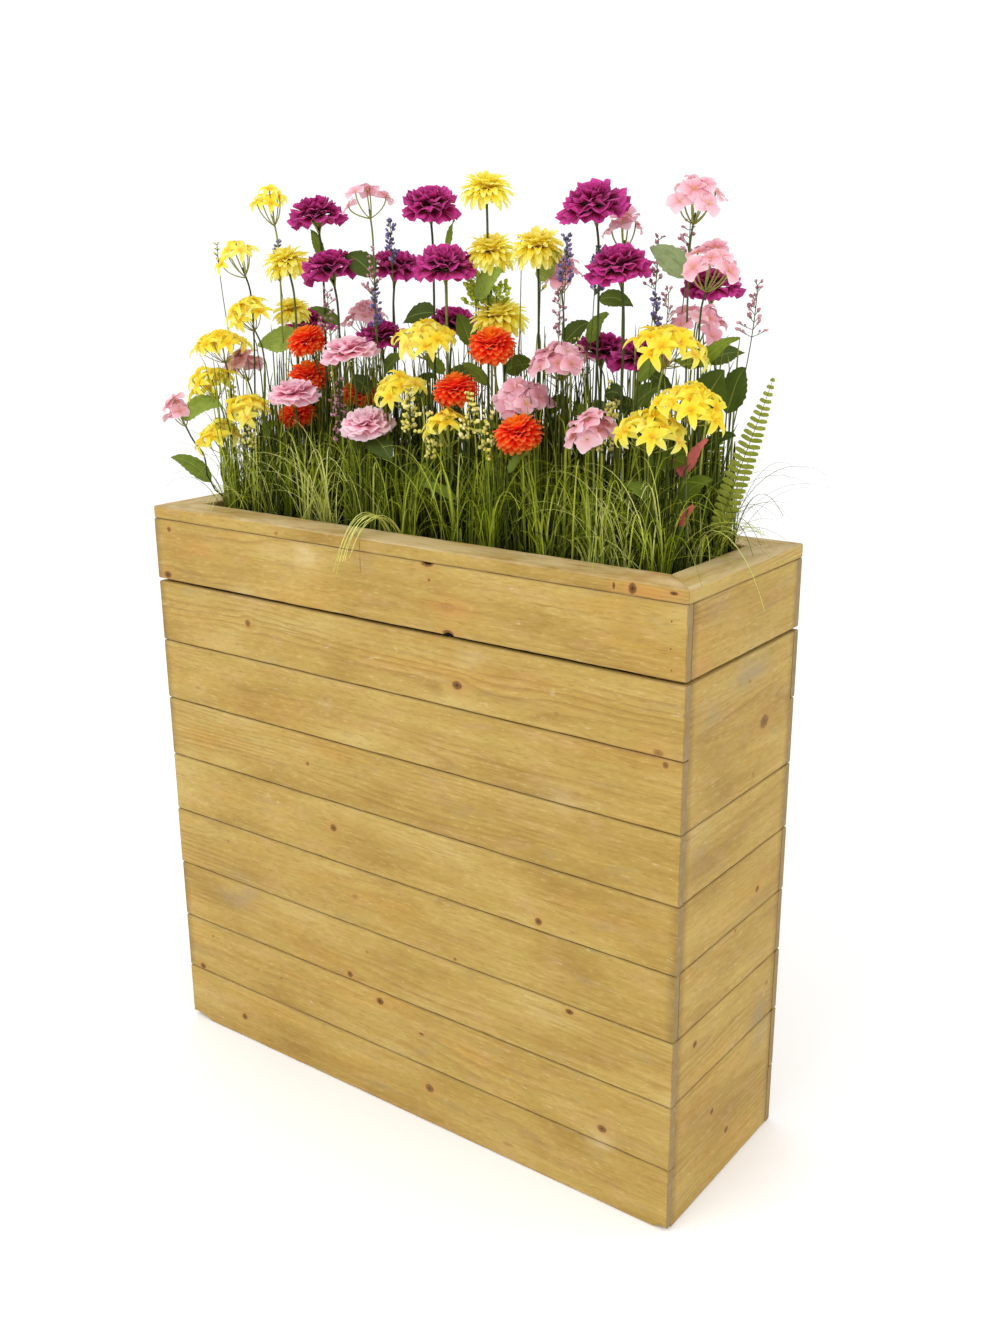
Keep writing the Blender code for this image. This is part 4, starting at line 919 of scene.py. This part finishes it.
def umbel(head, across, stars, opened):
    """Florets on stalks that arch up from one point, on a shallow dome."""
    draw = head.draw
    radius = (0.0190 if opened else 0.0230) if stars else 0.0180
    spread = across / 2 - (0.30 if stars else 0.50) * radius
    count, hang = opened or (int((2.6 if stars else 2.7) * (spread / radius) ** 2) + 7, 0.62)
    top = UMBEL_DEEP * 1.30 - 0.002
    low = -0.008 if opened else -0.004
    for step in range(count):
        share = math.sqrt((step + 0.3) / count)
        out = heading(step * GOLDEN_TURN + draw.uniform(-0.25, 0.25))
        place = out * spread * share * draw.uniform(0.84, 1.06)
        place[2] = top - UMBEL_DEEP * hang * share ** 2 + draw.uniform(-0.007, 0.004)
        tilt = (1.05 if stars else 0.95) * share
        aside = np.array([draw.uniform(-0.4, 0.4), draw.uniform(-0.4, 0.4), 0])
        facing = Vector(out * tilt + UP + aside).normalized()
        add_floret(head, place, facing, radius * draw.uniform(0.90, 1.10), stars)
        hub = UP * (low - 0.004 * draw.random())
        up = UP * (place[2] - hub[2])
        first = hub + out * spread * share * (0.55 if opened else 0.35) + up * (0.22 if opened else 0.10)
        second = place - up * (0.40 if opened else 0.35)
        head.stalk(bezier(hub, first, second, place, 6), STALK_RADIUS * (1.5 if opened else 1.0), 4,
                   0.5 + 0.4 * draw.random(), 0.45)


def add_floret(head, place, facing, radius, stars):
    """Five or six narrow petals, or four broad ones, and a tuft in the middle."""
    draw = head.draw
    turn = turned_to(facing).T
    share = np.linspace(0, 1, 6)
    side = np.linspace(-1, 1, 3 if stars else 5)
    count = draw.choice((5, 6)) if stars else 4
    spin = draw.uniform(0, math.tau)
    chance = draw.random()
    if stars:
        half = 0.205 * radius * np.sin(np.pi * (0.20 + 0.78 * share)) + 0.0002
        lift = 0.5 * half[:, None] * np.abs(side)
        push = 0.0
        rises = (40, 12, -60, 30)
    else:
        half = 0.54 * radius * np.sin(np.pi * (0.10 + 0.70 * share ** 0.9)) ** 0.9
        lift = 0.12 * radius * side ** 2 * share[:, None]
        push = -0.26 * radius * side ** 2 * (share ** 2)[:, None]
        rises = (30, 14, -44, 24)
    for step in range(count):
        long = radius * draw.uniform(0.95, 1.1)
        first = rises[0] + draw.uniform(-rises[1], rises[1])
        last = rises[2] + draw.uniform(-rises[3], rises[3])
        azimuth = spin + math.tau * step / count
        points = petal((0.0009, 0.0), azimuth, first, last, long, half, side, lift, push)
        head.add(points @ turn + place, min(1.0, max(0.0, chance + draw.uniform(-0.12, 0.12))))
    tuft = petal((0.0, 0.0), spin, 88, 84, 0.28 * radius, np.array([0.0007, 0.0010, 0.0006]),
                 np.linspace(-1, 1, 3))
    head.add(tuft @ turn + place, chance, 0.6)


# Bunches

def bunch_heads(kinds):
    """A bunch's heads in order: kind, x, y, height and breadth."""
    return [(kind, *row) for kind, rows in kinds.items() for row in metres(rows, 0, 4)]


def lean_of(place, draw):
    """The way a head faces: up and a little to the front, and outwards near the ends of the box."""
    out = Vector((END_LEAN * place.x ** 3, -0.16 + place.y * 1.2, 1))
    return (out + Vector((draw.uniform(-0.14, 0.14), draw.uniform(-0.14, 0.14), 0))).normalized()


def head_middle(kind, across):
    share = {"carnation": 0.45 * CARNATION_HIGH, "dahlia": 0.5 * DAHLIA_HIGH, "pompom": 0.5 * POMPOM_HIGH}
    return share[kind] * across if kind in share else 0.78 * UMBEL_DEEP


def plan_heads():
    """Where each head's stem ends and the way it faces, by the same draws as in the solids."""
    draw = random.Random(PLAN_SEED)
    for _ in range(2 * COURSES):
        draw.uniform(-END_STEP, END_STEP)
    plan = {}
    for name, (_, _, _, kinds) in BUNCHES.items():
        plan[name] = []
        for kind, x, y, high, across in bunch_heads(kinds):
            place = Vector((x, y, HEIGHT + high))
            facing = lean_of(place, draw)
            draw.uniform(0, math.tau)
            plan[name].append((place - facing * head_middle(kind, across), facing))
    return plan


def stem_path(root, level, end, facing):
    """From the crown out to the side, then up to the head, straight under it."""
    end = np.array(end)
    facing = np.array(facing)
    crown = np.array([*root, level])
    low = np.array([within(end[0], FAN_X), within(end[1], FAN_Y), BED_TOP + FAN_TOP]) + UP * FAN_RISE * 0.4
    neck = end - facing * HEAD_STRAIGHT
    first = bezier(crown, crown + (low - crown) * 0.4, low - UP * 0.035, low, 4)[:-1]
    second = bezier(low, low + UP * 0.05, neck - facing * 0.04, neck, 14)
    return np.concatenate([first, second, [end + facing * 0.004]])


def stem_paths(root, ends):
    """The head that reaches furthest leaves the crown lowest."""
    reach = {at: math.hypot(end.x - root[0], end.y - root[1]) for at, (end, _) in enumerate(ends)}
    ranks = enumerate(sorted(reach, key=reach.get, reverse=True))
    return {at: stem_path(root, MAT_TOP + CROWN_LOWEST + rank * STEM_PITCH, *ends[at]) for rank, at in ranks}


def point_at_height(path, height):
    for low, high in zip(path, path[1:]):
        if low[2] <= height <= high[2]:
            return low + (high - low) * (height - low[2]) / (high[2] - low[2])
    return path[-1]


def add_leaf(build, start, tip, wide, tone, slot, draw):
    """A broad toothed leaf that arches from its foot to its tip and turns its face to the front, with
    side veins pressed into it."""
    rows = 17
    share = np.linspace(0, 1, rows)
    side = np.array([-1, -0.75, -0.5, -0.25, -0.07, 0, 0.07, 0.25, 0.5, 0.75, 1])
    run = tip - start
    arch = UP * 0.15 * np.linalg.norm(run)
    rib = bezier(start, start + run * 0.33 + arch, start + run * 0.70 + arch, tip, rows - 1)
    along, across, normal = frames(rib, LEAF_FACING + UP * 5.0 * max(0.0, abs(LEAF_FACING @ unit(run)) - 0.7))
    outline = 1.55 * np.sin(np.pi * share ** 0.72) ** 0.8 * (1 - 0.42 * share) / 1.24
    half = wide / 2 * outline * (1 + 0.05 * np.where(np.arange(rows) % 2, 1, -1)) + 0.0003
    down = share[:, None]
    lift = np.sin(down * 34 - np.abs(side) * 6) * 0.0006 * np.abs(side)
    lift = lift + 0.22 * half[:, None] * np.abs(side) - 0.16 * half[:, None] * side ** 2
    lift = lift + 0.002 * np.sin(down * 7 + side * 2 + draw.uniform(0, 6)) * down
    swept = 0.10 * wide * np.abs(side) * outline[:, None]
    points = sheet(rib, across, half, side, (normal, lift), (along, swept))
    paint = painted(points, tone)
    paint[:, len(side) // 2, 3] = 0.5
    paint[..., 0] = 0.4 + 0.6 * paint[..., 0]
    build.add(points, paint, slot)


def leaf_tip(start, azimuth, rise, long):
    """Where a leaf ends that leaves its stem at a rise and bends down along its way."""
    lift = math.radians(rise - LEAF_BEND)
    return start + long * (heading(math.radians(azimuth)) * math.cos(lift) + UP * math.sin(lift))


def make_bunch(name, ends, draw, finishes):
    slot, *root, kinds = BUNCHES[name]
    root = [each / 1000 for each in root]
    petals = Build()
    greens = Build()
    paths = stem_paths(root, ends)
    for at, (kind, _, _, _, across) in enumerate(bunch_heads(kinds)):
        end, facing = ends[at]
        scale = HEAD_SCALE.get((name, at), HEAD_SCALE.get(slot, (1.0, 1.0)))
        seat = Vector(end) + facing * head_middle(kind, across) * (1 - scale[1])
        head = Head(petals, greens, seat, facing, scale, draw)
        if kind == "carnation":
            carnation(head, across, RAGGED.get((name, at), PURPLE_RAGGED))
        elif kind == "dahlia":
            dahlia(head, across)
        elif kind == "pompom":
            pompom(head, across)
        else:
            umbel(head, across, kind == "stars", OPEN_HEADS.get((name, at)))
        radius = STEM_RADIUS * (0.8 if kind in ("stars", "rounds") else 1.0)
        add_tube(greens, paths[at], radius * 0.88, 0, draw.random(), 6)
    add_tube(greens, [(*root, BED_TOP - 0.05), (*root, MAT_TOP + 0.034)], 0.0046, 0, 0.2, 8)
    for stem, height, azimuth, rise, long, wide, tone in LEAVES.get(name, ()):
        foot = point_at_height(paths[stem], HEIGHT + height / 1000)
        add_leaf(greens, foot, leaf_tip(foot, azimuth, rise, long / 1000), wide / 1000, tone, 1, draw)
    petals.piece(name + "_petals", [finishes[slot]], name, slot)
    greens.piece(name + "_stems", [finishes["stem"], finishes["leaf"]], name, "grass")


# Greenery

def past(path, clear):
    """Which points of a path lie further out than the box's walls and a clearance."""
    return (np.abs(path[:, 1]) > DEPTH / 2 + clear) | (np.abs(path[:, 0]) > WIDTH / 2 + clear)


def clear_of_box(path, limits):
    """Whether a blade stays over the rim where it crosses it, and inside the model's box."""
    low, high = limits
    over = path[:, 2] > HEIGHT + 0.003
    room = (path > low + 0.002).all() and (path < high - 0.002).all()
    return room and bool((over | ~past(path, -RIM_WIDE - 0.004) | past(path, 0.004)).all())


def root_point(draw, edge=0.006):
    return np.array([draw.uniform(-MAT_LONG / 2 + edge, MAT_LONG / 2 - edge),
                     draw.uniform(-MAT_WIDE / 2 + edge, MAT_WIDE / 2 - edge), ROOTED])


def grass_path(start, angle, reach, rise, droop, steps):
    out = heading(angle) * (1, 0.6, 1)
    return bezier(start, start + UP * rise * 0.55 + out * reach * 0.04,
                  start + UP * rise + out * reach * 0.45,
                  start + UP * (rise - droop) + out * reach, steps)


def upright_grass(draw, limits):
    """Clumps of narrow blades that fan out a little, broad ones, and lone tall ones between the stems."""
    build = Build()
    steps = 5
    taper = np.linspace(1, 0, steps + 1) ** 0.4 * 0.8 + 0.2
    for _ in range(CLUMPS):
        middle = root_point(draw, 0.010)
        tone = draw.random()
        height = draw.triangular(0.14, 0.32, 0.21) + 0.3 * middle[1]
        way = draw.uniform(0, math.tau)
        for _ in range(CLUMP_BLADES):
            start = middle + np.array([draw.gauss(0, 0.009), draw.gauss(0, 0.009), 0])
            path = grass_path(start, way + draw.gauss(0, 1.1), draw.uniform(0.004, 0.050),
                              height * draw.uniform(0.60, 1.15), draw.uniform(0.0, 0.012), steps)
            if clear_of_box(path, limits):
                radii = draw.uniform(0.0010, 0.0016) * taper
                add_tube(build, path, radii, 0, 0.50 * tone + 0.50 * draw.random(), 3)
    for number, (count, reach, heights, widths, tones, least) in enumerate(LONE_BLADES):
        for _ in range(count):
            root = root_point(draw)
            if root[1] < least:
                root[1] = -root[1]
            rise = draw.uniform(*heights) * (1 + 3.0 * min(0.0, root[1]))
            path = grass_path(root, draw.uniform(0, math.tau), draw.uniform(0.0, reach), rise, 0.0, steps)
            if clear_of_box(path, limits):
                breadth = draw.uniform(*widths) * taper
                chance = draw.uniform(*tones)
                if number == 0:
                    add_tube(build, path, breadth, 1, chance, 3)
                else:
                    add_ribbon(build, path, breadth, 0.4, chance)
    return build


def arching_grass(draw, limits):
    """Tufts of limp blades that arch over, the palest at the front, and the blades that lie over the rim."""
    build = Build()
    steps = 13
    taper = np.clip(1.15 - np.linspace(0, 1, steps + 1) ** 2.2, 0.32, 1)
    spots = metres(TUFT_SPOTS, 0, 2)
    for _ in range(TUFTS):
        x, y, _ = root_point(draw, 0.014)
        spots.append((x, y, draw.uniform(0.0, 0.5)))
    for x, y, tone in spots:
        for _ in range(TUFT_BLADES):
            for _ in range(TUFT_TRIES):
                start = np.array([x + draw.gauss(0, 0.007), y + draw.gauss(0, 0.005), ROOTED])
                path = grass_path(start, draw.uniform(0, math.tau), draw.uniform(0.03, 0.19),
                                  draw.uniform(0.11, 0.24), draw.uniform(0.0, 0.12), steps)
                if clear_of_box(path, limits):
                    shown = tone + draw.gauss(0, 0.2) - (0.5 if abs(path[-1][0]) > OUTSIDE else 0.0)
                    shown = min(1.0, max(0.0, shown))
                    add_ribbon(build, path, draw.uniform(0.0014, 0.0026) * taper, 0.5, shown)
                    break
    for x, y, tip_x, tip_y, tip_z, count in metres(DRAPED, 0, 5):
        for _ in range(count):
            for _ in range(DRAPE_TRIES):
                start = np.array([x + draw.uniform(-0.01, 0.01), y + draw.uniform(-0.004, 0.004), ROOTED])
                end = np.array([tip_x + draw.uniform(-0.01, 0.01), tip_y,
                                HEIGHT + tip_z * draw.uniform(0.4, 1.0)])
                over = start + (end - start) * 0.70
                over[2] = HEIGHT + draw.uniform(0.045, 0.070)
                rise = (0.16 if count == 1 else 0.11) + draw.uniform(0, 0.02)
                path = bezier(start, start + UP * rise, over, end, steps)
                if clear_of_box(path, limits):
                    add_ribbon(build, path, 0.0032 * taper, 0.5, draw.uniform(0.75, 1))
                    break
    return build


def moss():
    """A lumpy moss mat, with its edge turned down."""
    build = Build()
    rows, columns = 150, 40
    points = np.zeros((rows, columns, 3))
    points[..., 0] = np.linspace(-MAT_LONG / 2, MAT_LONG / 2, rows)[:, None]
    points[..., 1] = np.linspace(-MAT_WIDE / 2, MAT_WIDE / 2, columns)
    places = [Vector((x * 90, y * 90, 0)) for x, y, _ in points.reshape(-1, 3)]
    lumps = np.reshape([noise.noise(at) + 0.6 * noise.noise(at * 2.7) for at in places], (rows, columns))
    points[..., 2] = MAT_TOP - 0.006
    points[1:-1, 1:-1, 2] = MAT_TOP + 0.003 * lumps[1:-1, 1:-1]
    paint = painted(points, 0.5 + 0.5 * lumps)
    paint[..., 0] = 1
    build.add(points, paint)
    return build


def fern_fronds(draw):
    """Nearly straight ribs with pairs of rounded leaflets, the longest in the middle."""
    build = Build()
    share = np.linspace(0, 1, 7)
    side = np.linspace(-1, 1, 5)
    for x, y, tip_x, tip_y, tip_high in metres(FERNS, 0, 5):
        start = np.array([x, y, ROOTED])
        end = np.array([tip_x, tip_y, HEIGHT + tip_high])
        middle = start + (end - start) * 0.6 + UP * 0.02
        path = bezier(start, start + UP * (end[2] - start[2]) * 0.4, middle, end, FROND_STEPS)
        add_tube(build, path[::4], np.linspace(0.0011, 0.0004, len(path[::4])), 0, 0.6, 5, 0.7)
        ways, acrosses, normals = frames(path, FROND_FACING)
        for level in np.linspace(0, 1, LEAFLET_PAIRS):
            at = round((0.34 + 0.65 * level) * FROND_STEPS)
            long = 0.0160 * math.sin(math.pi * (0.30 + 0.68 * level)) ** 0.85 + 0.0014
            half = 0.0042 * (1 - 0.42 * level) * np.sin(np.pi * (0.14 + 0.76 * share)) ** 0.5
            for sign in (-1, 1):
                out = unit(acrosses[at] * sign + ways[at] * 0.30)
                forward = np.cross(normals[at], out) * sign
                drop = normals[at] * (0.12 * long * share ** 2)[:, None]
                rib = path[at] + out * (share * long)[:, None] - drop
                cup = 0.25 * half[:, None] * np.abs(side)
                points = sheet(rib, forward, half, side, (normals[at], cup))
                paint = painted(points, 0.48 + 0.22 * draw.random())
                paint[..., 0] = 0.8
                paint[:, len(side) // 2, 3] = 0.4
                build.add(points, paint)
    return build


def add_bud(build, place, way, long, wide, slot, chance):
    """A small oval bud."""
    path = place + way * np.linspace(0, long, 5)[:, None]
    add_tube(build, path, wide / 2 * np.array([0.45, 0.95, 1.0, 0.7, 0.15]), slot, chance, 5)


def spray(build, draw, kind, x, y, high):
    """A slim stem with small buds on short twigs, close together in a froth."""
    slot, levels, count, long, wide, twig, budded = SPRAY_KINDS[kind]
    froth = kind == "froth"
    twigs = slot if froth else 0
    end = np.array([x, y, HEIGHT + high])
    root = np.array([within(x * 0.86, MAT_LONG / 2 - 0.02), within(y, MAT_WIDE / 2 - 0.01), ROOTED])
    path = bezier(root, root + UP * 0.12, end - UP * 0.12, end, 40)
    add_tube(build, path, np.linspace(0.0011, 0.0006, len(path)), 0, 0.5)
    for share in np.linspace(0, 1, levels):
        at = point_at_height(path, end[2] - budded * (1 - share) - 0.001)
        room = math.sin(math.pi * (0.25 + 0.60 * share)) if froth else 1 - 0.6 * share
        for _ in range(count):
            way = unit(heading(draw.uniform(0, math.tau), 0.8 + draw.uniform(-0.4, 0.6)))
            foot = at + way * twig * draw.uniform(0.5, 1.15) * room
            size = draw.uniform(0.75, 1.15) * (1 - 0.25 * share)
            add_bud(build, foot, way, long * size, wide * size, slot, draw.random())
            add_tube(build, [at, (at + foot) / 2 - UP * 0.0006, foot], 0.0005, twigs, 0.6, 3)
            for back in (0.45, 0.75):
                aside = unit(way + np.array([draw.uniform(-0.9, 0.9), draw.uniform(-0.9, 0.9), 0.3]))
                tip = at + (foot - at) * back + aside * 0.0030
                add_bud(build, tip, aside, 0.8 * long * size, 0.8 * wide * size, slot, draw.random())
                add_tube(build, [tip - aside * 0.0034, tip], 0.0004, twigs, 0.6, 3)


def bud_sprays(draw):
    build = Build()
    for kind, rows in SPRAYS:
        for row in metres(rows, 0, 3):
            spray(build, draw, kind, *row)
    return build


def low_leaves(draw):
    """Leaves on thin stems of their own: those that show, and dark ones among the stems."""
    build = Build()
    plan = metres(LOW_LEAVES, 0, 6)
    for _ in range(INNER_LEAVES):
        x, high = draw.uniform(-0.38, 0.40), draw.uniform(0.10, 0.24)
        side = draw.choice((-1, 1)) * draw.uniform(0.030, 0.055)
        plan.append((x, draw.uniform(-0.01, 0.09), high, x + side, high + draw.uniform(0.0, 0.03),
                     draw.uniform(0.016, 0.026), draw.uniform(0.1, 0.55), False))
    for x, y, high, tip_x, tip_high, wide, tone, red in plan:
        foot = np.array([x, y, HEIGHT + high])
        root = np.array([within(x * 0.98, MAT_LONG / 2 - 0.01), within(y, MAT_WIDE / 2 - 0.01), ROOTED])
        add_tube(build, bezier(root, root + UP * 0.06, foot - UP * 0.04, foot, 8), 0.0009, 0, 0.4, 4)
        tip = np.array([tip_x, y - 0.008, HEIGHT + tip_high])
        add_leaf(build, foot, tip, wide, tone, 2 if red else 1, draw)
    return build


def greenery(finishes):
    draw = random.Random(GRASS_SEED)
    limits = [np.array(each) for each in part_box("greenery_mat")]
    for name, build, slots in (
            ("upright_grass", upright_grass(draw, limits), ("grass", "reed")),
            ("arching_grass", arching_grass(draw, limits), ("lime_grass",)),
            ("moss_mat", moss(), ("moss",)),
            ("fern_fronds", fern_fronds(draw), ("fern",)),
            ("bud_sprays", bud_sprays(draw), ("stem", "lavender", "berry", "bud", "froth")),
            ("low_leaves", low_leaves(draw), ("stem", "leaf", "red_leaf"))):
        build.piece(name, [finishes[slot] for slot in slots], "greenery_mat", "grass")


# Boards

def section_outline(across, depth):
    """Points round a board's section, its long edges eased, and which of them are on those edges."""
    corners = [(across[1], depth[1]), (across[0], depth[1]), (across[0], depth[0]), (across[1], depth[0])]
    middle = np.array([sum(across) / 2, sum(depth) / 2])
    points = []
    edges = []
    for at, corner in enumerate(corners):
        corner = np.array(corner)
        following = np.array(corners[(at + 1) % 4])
        centre = corner - np.copysign(ARRIS, corner - middle)
        points += [centre + ARRIS * heading(math.radians(turn + 90 * at))[:2] for turn in (15, 45, 75)]
        wide, deep = np.abs(following - corner)
        near = 1.7 * ARRIS / max(wide, deep)
        count = ACROSS_STEPS if wide > deep else 2
        shares = (near, *np.linspace(0, 1, count + 1)[1:-1], 1 - near)
        points += [corner * (1 - share) + following * share for share in shares]
        edges += [True] * 3 + [False] * len(shares)
    return np.array(points), np.array(edges)


def stations(start, end, chips):
    """Places along a board, closer together at a chip."""
    low, high = start + END_EASE, end - END_EASE
    count = max(8, int(round((end - start) / STATION)))
    places = set(np.linspace(low, high, count + 1).round(5))
    places |= {round(start + 2.5 * END_EASE, 5), round(end - 2.5 * END_EASE, 5)}
    for at, _, long, _ in chips:
        places |= {round(at + long * step / 6, 5) for step in range(-6, 7)}
    return np.array([start, *sorted(each for each in places if low <= each <= high), end])


def board_points(name, along, across, depth, mitre):
    """A grid of points: stations along the board, each with its section, worn at the edges and chipped. A
    mitre is the outer edge that a rim board's slanting ends start from."""
    chips = [(at / 1000, edge, long / 1000, deep / 1000) for board, at, edge, long, deep in CHIPS
             if board == name]
    places = stations(*along, chips)
    outline, edges = section_outline(across, depth)
    centre = np.array([sum(across) / 2, sum(depth) / 2])
    points = np.zeros((len(places), len(outline), 3))
    seed = Vector((0, 0, sum(map(ord, name)) * 1.7))
    for row, place in enumerate(places):
        ring = outline.copy()
        for column in np.flatnonzero(edges):
            at = Vector((place * 22, column * 3.1, 0)) + seed
            wear = WORN * max(0.0, 0.35 + noise.noise(at) + 0.4 * noise.noise(at * 4))
            ring[column] -= np.sign(ring[column] - centre) * wear * 0.6
        if row in (0, len(places) - 1):
            ring -= np.sign(ring - centre) * END_EASE * 0.5
        for at, edge, long, deep in chips:
            bite = max(0.0, 1 - ((place - at) / long) ** 2) * deep
            inward = (ring[:, 0] - across[0]) if edge < 0 else (across[1] - ring[:, 0])
            ring[:, 0] -= edge * bite * np.clip(1 - inward / (across[1] - across[0]) * CHIP_SHARE, 0, 1)
        points[row, :, 0] = place
        points[row, :, 1:] = ring
    if mitre:
        share = (points[..., 0] - along[0]) / (along[1] - along[0])
        points[..., 0] += np.abs(points[..., 1] - mitre) * (1 - 2 * share)
    return points, edges


def knot_values(points, faces, knots, second):
    """For every face corner, where it lies from the knot nearest to the face. Second is the part of a
    point, 1 across or 2 deep, that a knot's second value measures."""
    if not knots:
        return np.array([FAR_KNOT] * sum(map(len, faces)))
    flat = points.reshape(-1, 3)
    plan = np.array(knots)
    reach = plan[:, 2:3] * np.stack([plan[:, 4], np.ones(len(plan))], -1)
    values = []
    for face in faces:
        corners = flat[face][:, (0, second)]
        nearest = np.argmin(np.linalg.norm((plan[:, :2] - corners.mean(0)) / reach, axis=1))
        along, across, radius, dark, stretch = plan[nearest]
        long = radius * stretch
        values += [((x - along) / long, (y - across) / radius, radius, dark) for x, y in corners]
    return np.array(values)


def stain_and_painted_light_values(name, points):
    """Orange, grey and pale stains, a painted light on a rim's top face, and dark lines at both ends of the
    other boards, partly rough end arris and partly painted shade where boards meet, for every point of a
    board.
    """
    values = np.zeros((*points.shape[:2], 4))
    rim = name.startswith("rim")
    side = name if rim else name.split("_")[0]
    second = points[..., 2] if rim else points[..., 1]
    for where, along, across, long, wide, kind, strength in metres(STAINS, 1, 5):
        if where == side:
            reach = ((points[..., 0] - along) / long) ** 2 + ((second - across) / wide) ** 2
            values[..., kind] = np.maximum(values[..., kind], strength * np.exp(-reach))
    # A rim's top face gets the pale tone as a painted light
    if rim:
        values[..., 2] = np.where(points[..., 2] > points[..., 2].max() - 0.002, RIM_TOP_LIGHT, values[..., 2])
    else:
        # Dark board ends: partly rough end arris, partly painted shade where boards meet
        values[[0, 1, -2, -1], :, 3] = END_DARK_AND_SHADE
    return values


def make_board(name, axes, knots, draw, finish, mitre=0.0):
    """A finer board over its solid. Axes give the world axes of along, across and depth."""
    low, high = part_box(name)
    along, across, depth = ((low[axis], high[axis]) for axis in axes)
    points, edges = board_points(name, along, across, depth, mitre)
    rows, columns = points.shape[:2]
    faces = grid_faces(rows, columns, True).tolist()
    faces.append(list(range(columns))[::-1])
    faces.append(list(range((rows - 1) * columns, rows * columns)))
    world = np.zeros((rows * columns, 3))
    world[:, axes] = points.reshape(-1, 3)
    mesh = bpy.data.meshes.new(name + "_sawn")
    mesh.from_pydata(world.tolist(), [], faces)

    pith_across = draw.uniform(-0.05, 0.05) + sum(across) / 2
    pith_deep = sum(depth) / 2 + draw.choice((-1, 1)) * draw.uniform(0.03, 0.09)
    grain = np.zeros((rows, columns, 4))
    grain[..., :3] = points + np.array([draw.uniform(0, 50), -pith_across, -pith_deep])
    grain[..., 3] = np.where(edges, 0.30, 0.0)
    grain[[1, -2], :, 3] += 0.12
    order = np.concatenate(faces)
    grain = grain.reshape(-1, 4)[order]
    stain_and_painted_light = stain_and_painted_light_values(name, points).reshape(-1, 4)[order]
    grain[-2 * columns:, 3] = 0.85
    stain_and_painted_light[-2 * columns:, 3] = 0
    knot = knot_values(points, faces, knots, 2 if mitre else 1)
    for label, values in (("grain", grain), ("knot", knot), ("stain_and_painted_light", stain_and_painted_light)):
        layer = mesh.attributes.new(label, "FLOAT_COLOR", "CORNER")
        layer.data.foreach_set("color", values.ravel())
    mesh.shade_smooth()
    mesh.set_sharp_from_angle(angle=math.radians(40))
    place_piece(name + "_sawn", mesh, [finish], name, "pine")


def random_knot(draw, along, across):
    return (draw.uniform(along[0] + 0.02, along[1] - 0.02), draw.uniform(across[0] + 0.01, across[1] - 0.01),
            draw.uniform(0.0025, 0.0080), draw.uniform(0.3, 0.95), draw.uniform(1.0, 1.6))


def boards(names, finish):
    draw = random.Random(WOOD_SEED)
    for name in names:
        side = name.split("_")[0]
        axes = (0, 2, 1) if side in ("front", "back") else (1, 2, 0)
        low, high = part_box(name)
        if side in KNOTS:
            knots = [knot for knot in metres(KNOTS[side], 0, 3) if low.z - 0.002 <= knot[1] <= high.z + 0.002]
        else:
            along = (low[axes[0]], high[axes[0]])
            number = int(draw.random() * HIDDEN_KNOTS[side])
            knots = [random_knot(draw, along, (low.z, high.z)) for _ in range(number)]
        make_board(name, axes, knots, draw, finish)
    for name, axes, outer in (("rim_front", (0, 1, 2), -DEPTH / 2), ("rim_back", (0, 1, 2), DEPTH / 2),
                              ("rim_left", (1, 0, 2), -WIDTH / 2), ("rim_right", (1, 0, 2), WIDTH / 2)):
        make_board(name, axes, metres(KNOTS.get(name, ()), 0, 3), draw, finish, outer)


# Stage

def stage():
    floor = bpy.data.meshes.new("Floor")
    reach = FLOOR_REACH
    floor.from_pydata([(-reach, -reach, 0), (reach, -reach, 0), (reach, reach, 0), (-reach, reach, 0)], [],
                      [(0, 1, 2, 3)])
    shade = Shade("Floor")
    shade.colour = shade.noise(shade.place(), 3.0).ramp((0.3, (254, 254, 254)), (0.7, (255, 255, 255)))
    floor.materials.append(shade.finish(0.9, Specular_IOR_Level=0.1))
    made = in_scene("Floor", floor)
    made.location.z = -0.0005

    world = bpy.data.worlds.new("Studio")
    bpy.context.scene.world = world
    world.use_nodes = True
    background = world.node_tree.nodes["Background"]
    background.inputs["Color"].default_value = (1, 1, 1, 1)
    background.inputs["Strength"].default_value = 1.06

    for name, place, size, power in (("Key", (-0.6, -3.2, 3.4), 2.6, 60),
                                     ("Fill", (3.4, -0.6, 2.4), 2.2, 22)):
        lamp = bpy.data.lights.new(name, "AREA")
        lamp.shape = "SQUARE"
        lamp.size = size
        lamp.energy = power
        lit = in_scene(name, lamp)
        lit.location = place
        aim = LIGHTS_AIM - Vector(place)
        lit.rotation_euler = aim.to_track_quat("-Z", "Y").to_euler()


def camera():
    lens = bpy.data.cameras.new("Camera")
    lens.sensor_width = SENSOR
    lens.sensor_fit = "AUTO"
    lens.lens = LENS
    lens.clip_end = 60
    made = in_scene("Camera", lens)
    turn = Matrix((CAMERA_RIGHT, CAMERA_UP, -CAMERA_FORWARD)).transposed()
    made.matrix_world = Matrix.Translation(CAMERA_PLACE) @ turn.to_4x4()
    bpy.context.scene.camera = made
    bpy.context.scene.view_settings.view_transform = "Standard"


def main():
    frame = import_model()
    camera()
    stage()
    finishes = make_materials()
    subparts = frame["record"]["subparts"]
    for entry in subparts:
        finish = finishes.get(entry["material_slot"])
        if finish is not None:
            for slot in frame["nodes"][entry["node"]].material_slots:
                slot.link = "OBJECT"
                slot.material = finish
    boards([entry["node"] for entry in subparts if "_board_" in entry["node"]], finishes["pine"])
    greenery(finishes)
    draw = random.Random(PLAN_SEED + 1)
    for name, ends in plan_heads().items():
        make_bunch(name, ends, draw, finishes)


main()
